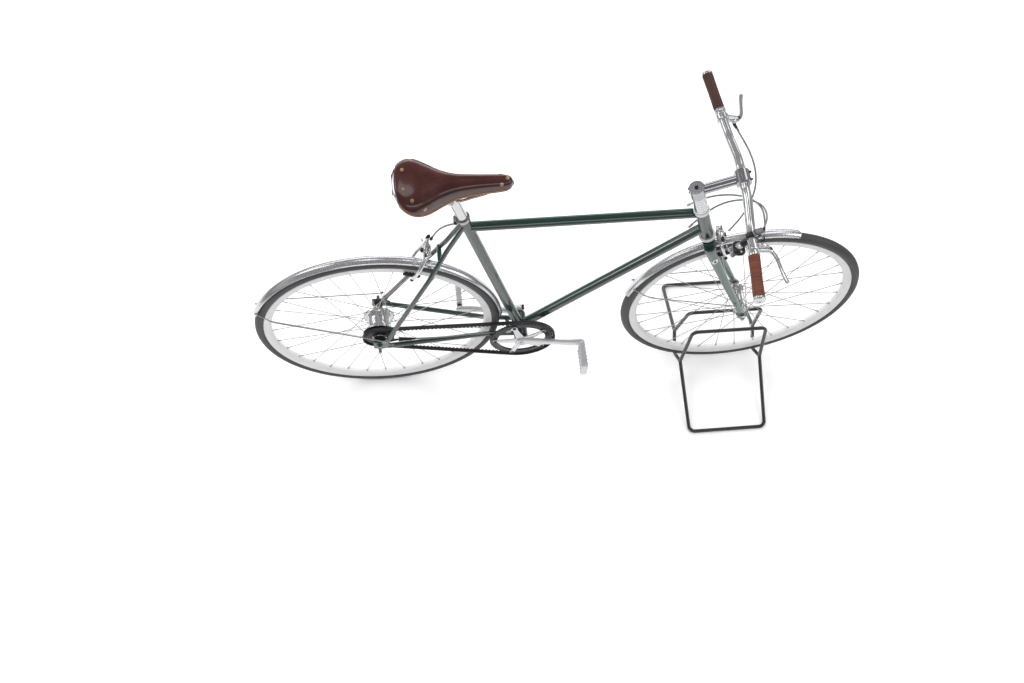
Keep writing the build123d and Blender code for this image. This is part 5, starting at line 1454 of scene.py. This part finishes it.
def floorMaterial(name):
    # one brightness to the camera and another to everything else, so the floor looks white and keeps its
    # shadow; polished surfaces see it darken beyond its reach, and it fades out into the white background
    s = floorSettings
    material, tree, shader = newMaterial(name)
    path = tree.nodes.new("ShaderNodeLightPath")
    place = tree.nodes.new("ShaderNodeTexCoord")
    far = tree.nodes.new("ShaderNodeVectorMath")
    far.operation = "LENGTH"
    tree.links.new(place.outputs["Object"], far.inputs[0])
    distance, reach = far.outputs["Value"], s["reach"]
    beyond = spread(tree, distance, 0, 1, reach, reach + s["dimOver"])
    dim = combine(tree, "MULTIPLY", beyond, path.outputs["Is Glossy Ray"])
    base = blendColours(tree, dim, (s["unseen"],) * 3, (s["dark"],) * 3)
    colour = blendColours(tree, path.outputs["Is Camera Ray"], base, (s["seen"],) * 3)
    tree.links.new(colour, shader.inputs["Base Color"])
    outer = spread(tree, distance, 0, 1, reach, reach + s["fadeOver"])
    fade = combine(tree, "MULTIPLY", outer, path.outputs["Is Camera Ray"])
    tree.links.new(fade, shader.inputs["Emission Strength"])
    shader.inputs["Emission Color"].default_value = (1, 1, 1, 1)
    shader.inputs["Roughness"].default_value = 1.0
    shader.inputs["Specular IOR Level"].default_value = 0.0
    return material


half, below = floorSettings["half"], floorSettings["below"]
floorMesh = bpy.data.meshes.new("floor")
corners = [(-half, -half, below), (half, -half, below), (half, half, below), (-half, half, below)]
floorMesh.from_pydata(corners, [], [[0, 1, 2, 3]])
floorMesh.materials.append(floorMaterial("floorWhite"))
floor = bpy.data.objects.new("floor", floorMesh)
bpy.context.scene.collection.objects.link(floor)

# each lamp: place, the place that it faces, width, height and power; broad boxes give the soft light,
# and narrow strips the clean lines along polished shapes
boxSettings = {
    "topBox": ((0, 0, 4.8), (0, 0, 0), 7.0, 6.0, 150),
    "backBox": ((-0.4, 3.4, 2.6), (0, 0, 0.5), 4.2, 2.0, 80),
    "keyBox": ((-3.2, -0.8, 3.6), (0, 0, 0.5), 1.6, 3.0, 60),
}
stripSettings = {
    "panelNear": ((0.4, -3.4, 2.6), (0, 0, 0.6), 6.0, 0.9, 26),
    "panelBack": ((0, 3.6, 1.6), (0, 0, 0.6), 7.0, 1.2, 36),
    "panelLeft": ((-3.4, 1.8, 2.7), (0.3, 0, 0.8), 1.0, 2.2, 11),
    "panelRight": ((3.6, -0.6, 2.4), (0, 0, 0.6), 0.9, 4.0, 26),
    "stripHigh": ((-0.75, 1.15, 3.9), (0.38, 0, 0.95), 1.0, 1.1, 4.5),
    "stripFront": ((1.9, 1.5, 3.7), (0.38, 0, 0.95), 1.0, 2.2, 9),
    "lineLeft": ((-3.6, -0.35, 1.75), (0.14, 0, 0.53), 0.75, 1.7, 30),
}


def softbox(name, place, target, width, height, power):
    # a rectangular lamp turned to face its target and hidden from the camera
    light = bpy.data.lights.new(name, "AREA")
    light.shape = "RECTANGLE"
    light.size = width
    light.size_y = height
    light.energy = power
    made = bpy.data.objects.new(name, light)
    bpy.context.scene.collection.objects.link(made)
    made.location = place
    made.rotation_euler = (Vector(target) - Vector(place)).to_track_quat("-Z", "Y").to_euler()
    made.visible_camera = False
    return made


for name, lamp in boxSettings.items():
    softbox(name, *lamp).visible_glossy = False
strips = {name: softbox(name, *lamp) for name, lamp in stripSettings.items()}
# the last strip draws the white line along the painted tubes, and lights nothing else
painted = bpy.data.collections.new("paintedTubes")
for name in ("top_tube", "down_tube", "seat_tube", "head_tube"):
    painted.objects.link(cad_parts[name])
strips["lineLeft"].light_linking.receiver_collection = painted

# pale walls all round that turn dark overhead, so polished tubes show a dark band between pale ones
studio = {"horizon": 0.34, "overhead": 0.11, "turnLow": 0.08, "turnHigh": 0.4}
world = bpy.context.scene.world or bpy.data.worlds.new("studioWorld")
bpy.context.scene.world = world
world.use_nodes = True
sky = world.node_tree
direction = sky.nodes.new("ShaderNodeTexCoord")
parts = sky.nodes.new("ShaderNodeSeparateXYZ")
sky.links.new(direction.outputs["Generated"], parts.inputs["Vector"])
height = parts.outputs["Z"]
walls = spread(sky, height, studio["horizon"], studio["overhead"], studio["turnLow"], studio["turnHigh"])
seen = sky.nodes.new("ShaderNodeLightPath")
level = sky.nodes.new("ShaderNodeMix")
sky.links.new(seen.outputs["Is Camera Ray"], level.inputs["Factor"])
sky.links.new(walls, level.inputs["A"])
level.inputs["B"].default_value = 1.0
sky.links.new(level.outputs["Result"], sky.nodes["Background"].inputs["Strength"])
sky.nodes["Background"].inputs["Color"].default_value = (1, 1, 1, 1)

# the camera looks along a yaw and a pitch, and is then rolled about that line
cameraSettings = {
    "yaw": -0.1774, "pitch": 1.0950, "roll": -0.09362, "place": (-0.3836, -1.4003, 2.9412),
    "lens": 36.446, "sensor": 36, "clipEnd": 60,
}
s = cameraSettings
yaw, pitch, roll = s["yaw"], s["pitch"], s["roll"]
lookWay = vec(-math.sin(yaw) * math.cos(pitch), math.cos(yaw) * math.cos(pitch), -math.sin(pitch))
levelRight = vec(math.cos(yaw), math.sin(yaw), 0)
levelDown = np.cross(lookWay, levelRight)
imageRight = math.cos(roll) * levelRight + math.sin(roll) * levelDown
imageDown = -math.sin(roll) * levelRight + math.cos(roll) * levelDown
camera = bpy.data.objects.new("camera", bpy.data.cameras.new("camera"))
bpy.context.scene.collection.objects.link(camera)
camera.data.lens = s["lens"]
camera.data.sensor_width = s["sensor"]
camera.data.clip_end = s["clipEnd"]
turned = Matrix([list(imageRight), list(-imageDown), list(-lookWay)]).transposed().to_4x4()
camera.matrix_world = Matrix.Translation(Vector(s["place"])) @ turned
bpy.context.scene.camera = camera
bpy.context.scene.view_settings.view_transform = "Standard"
print("stage set")
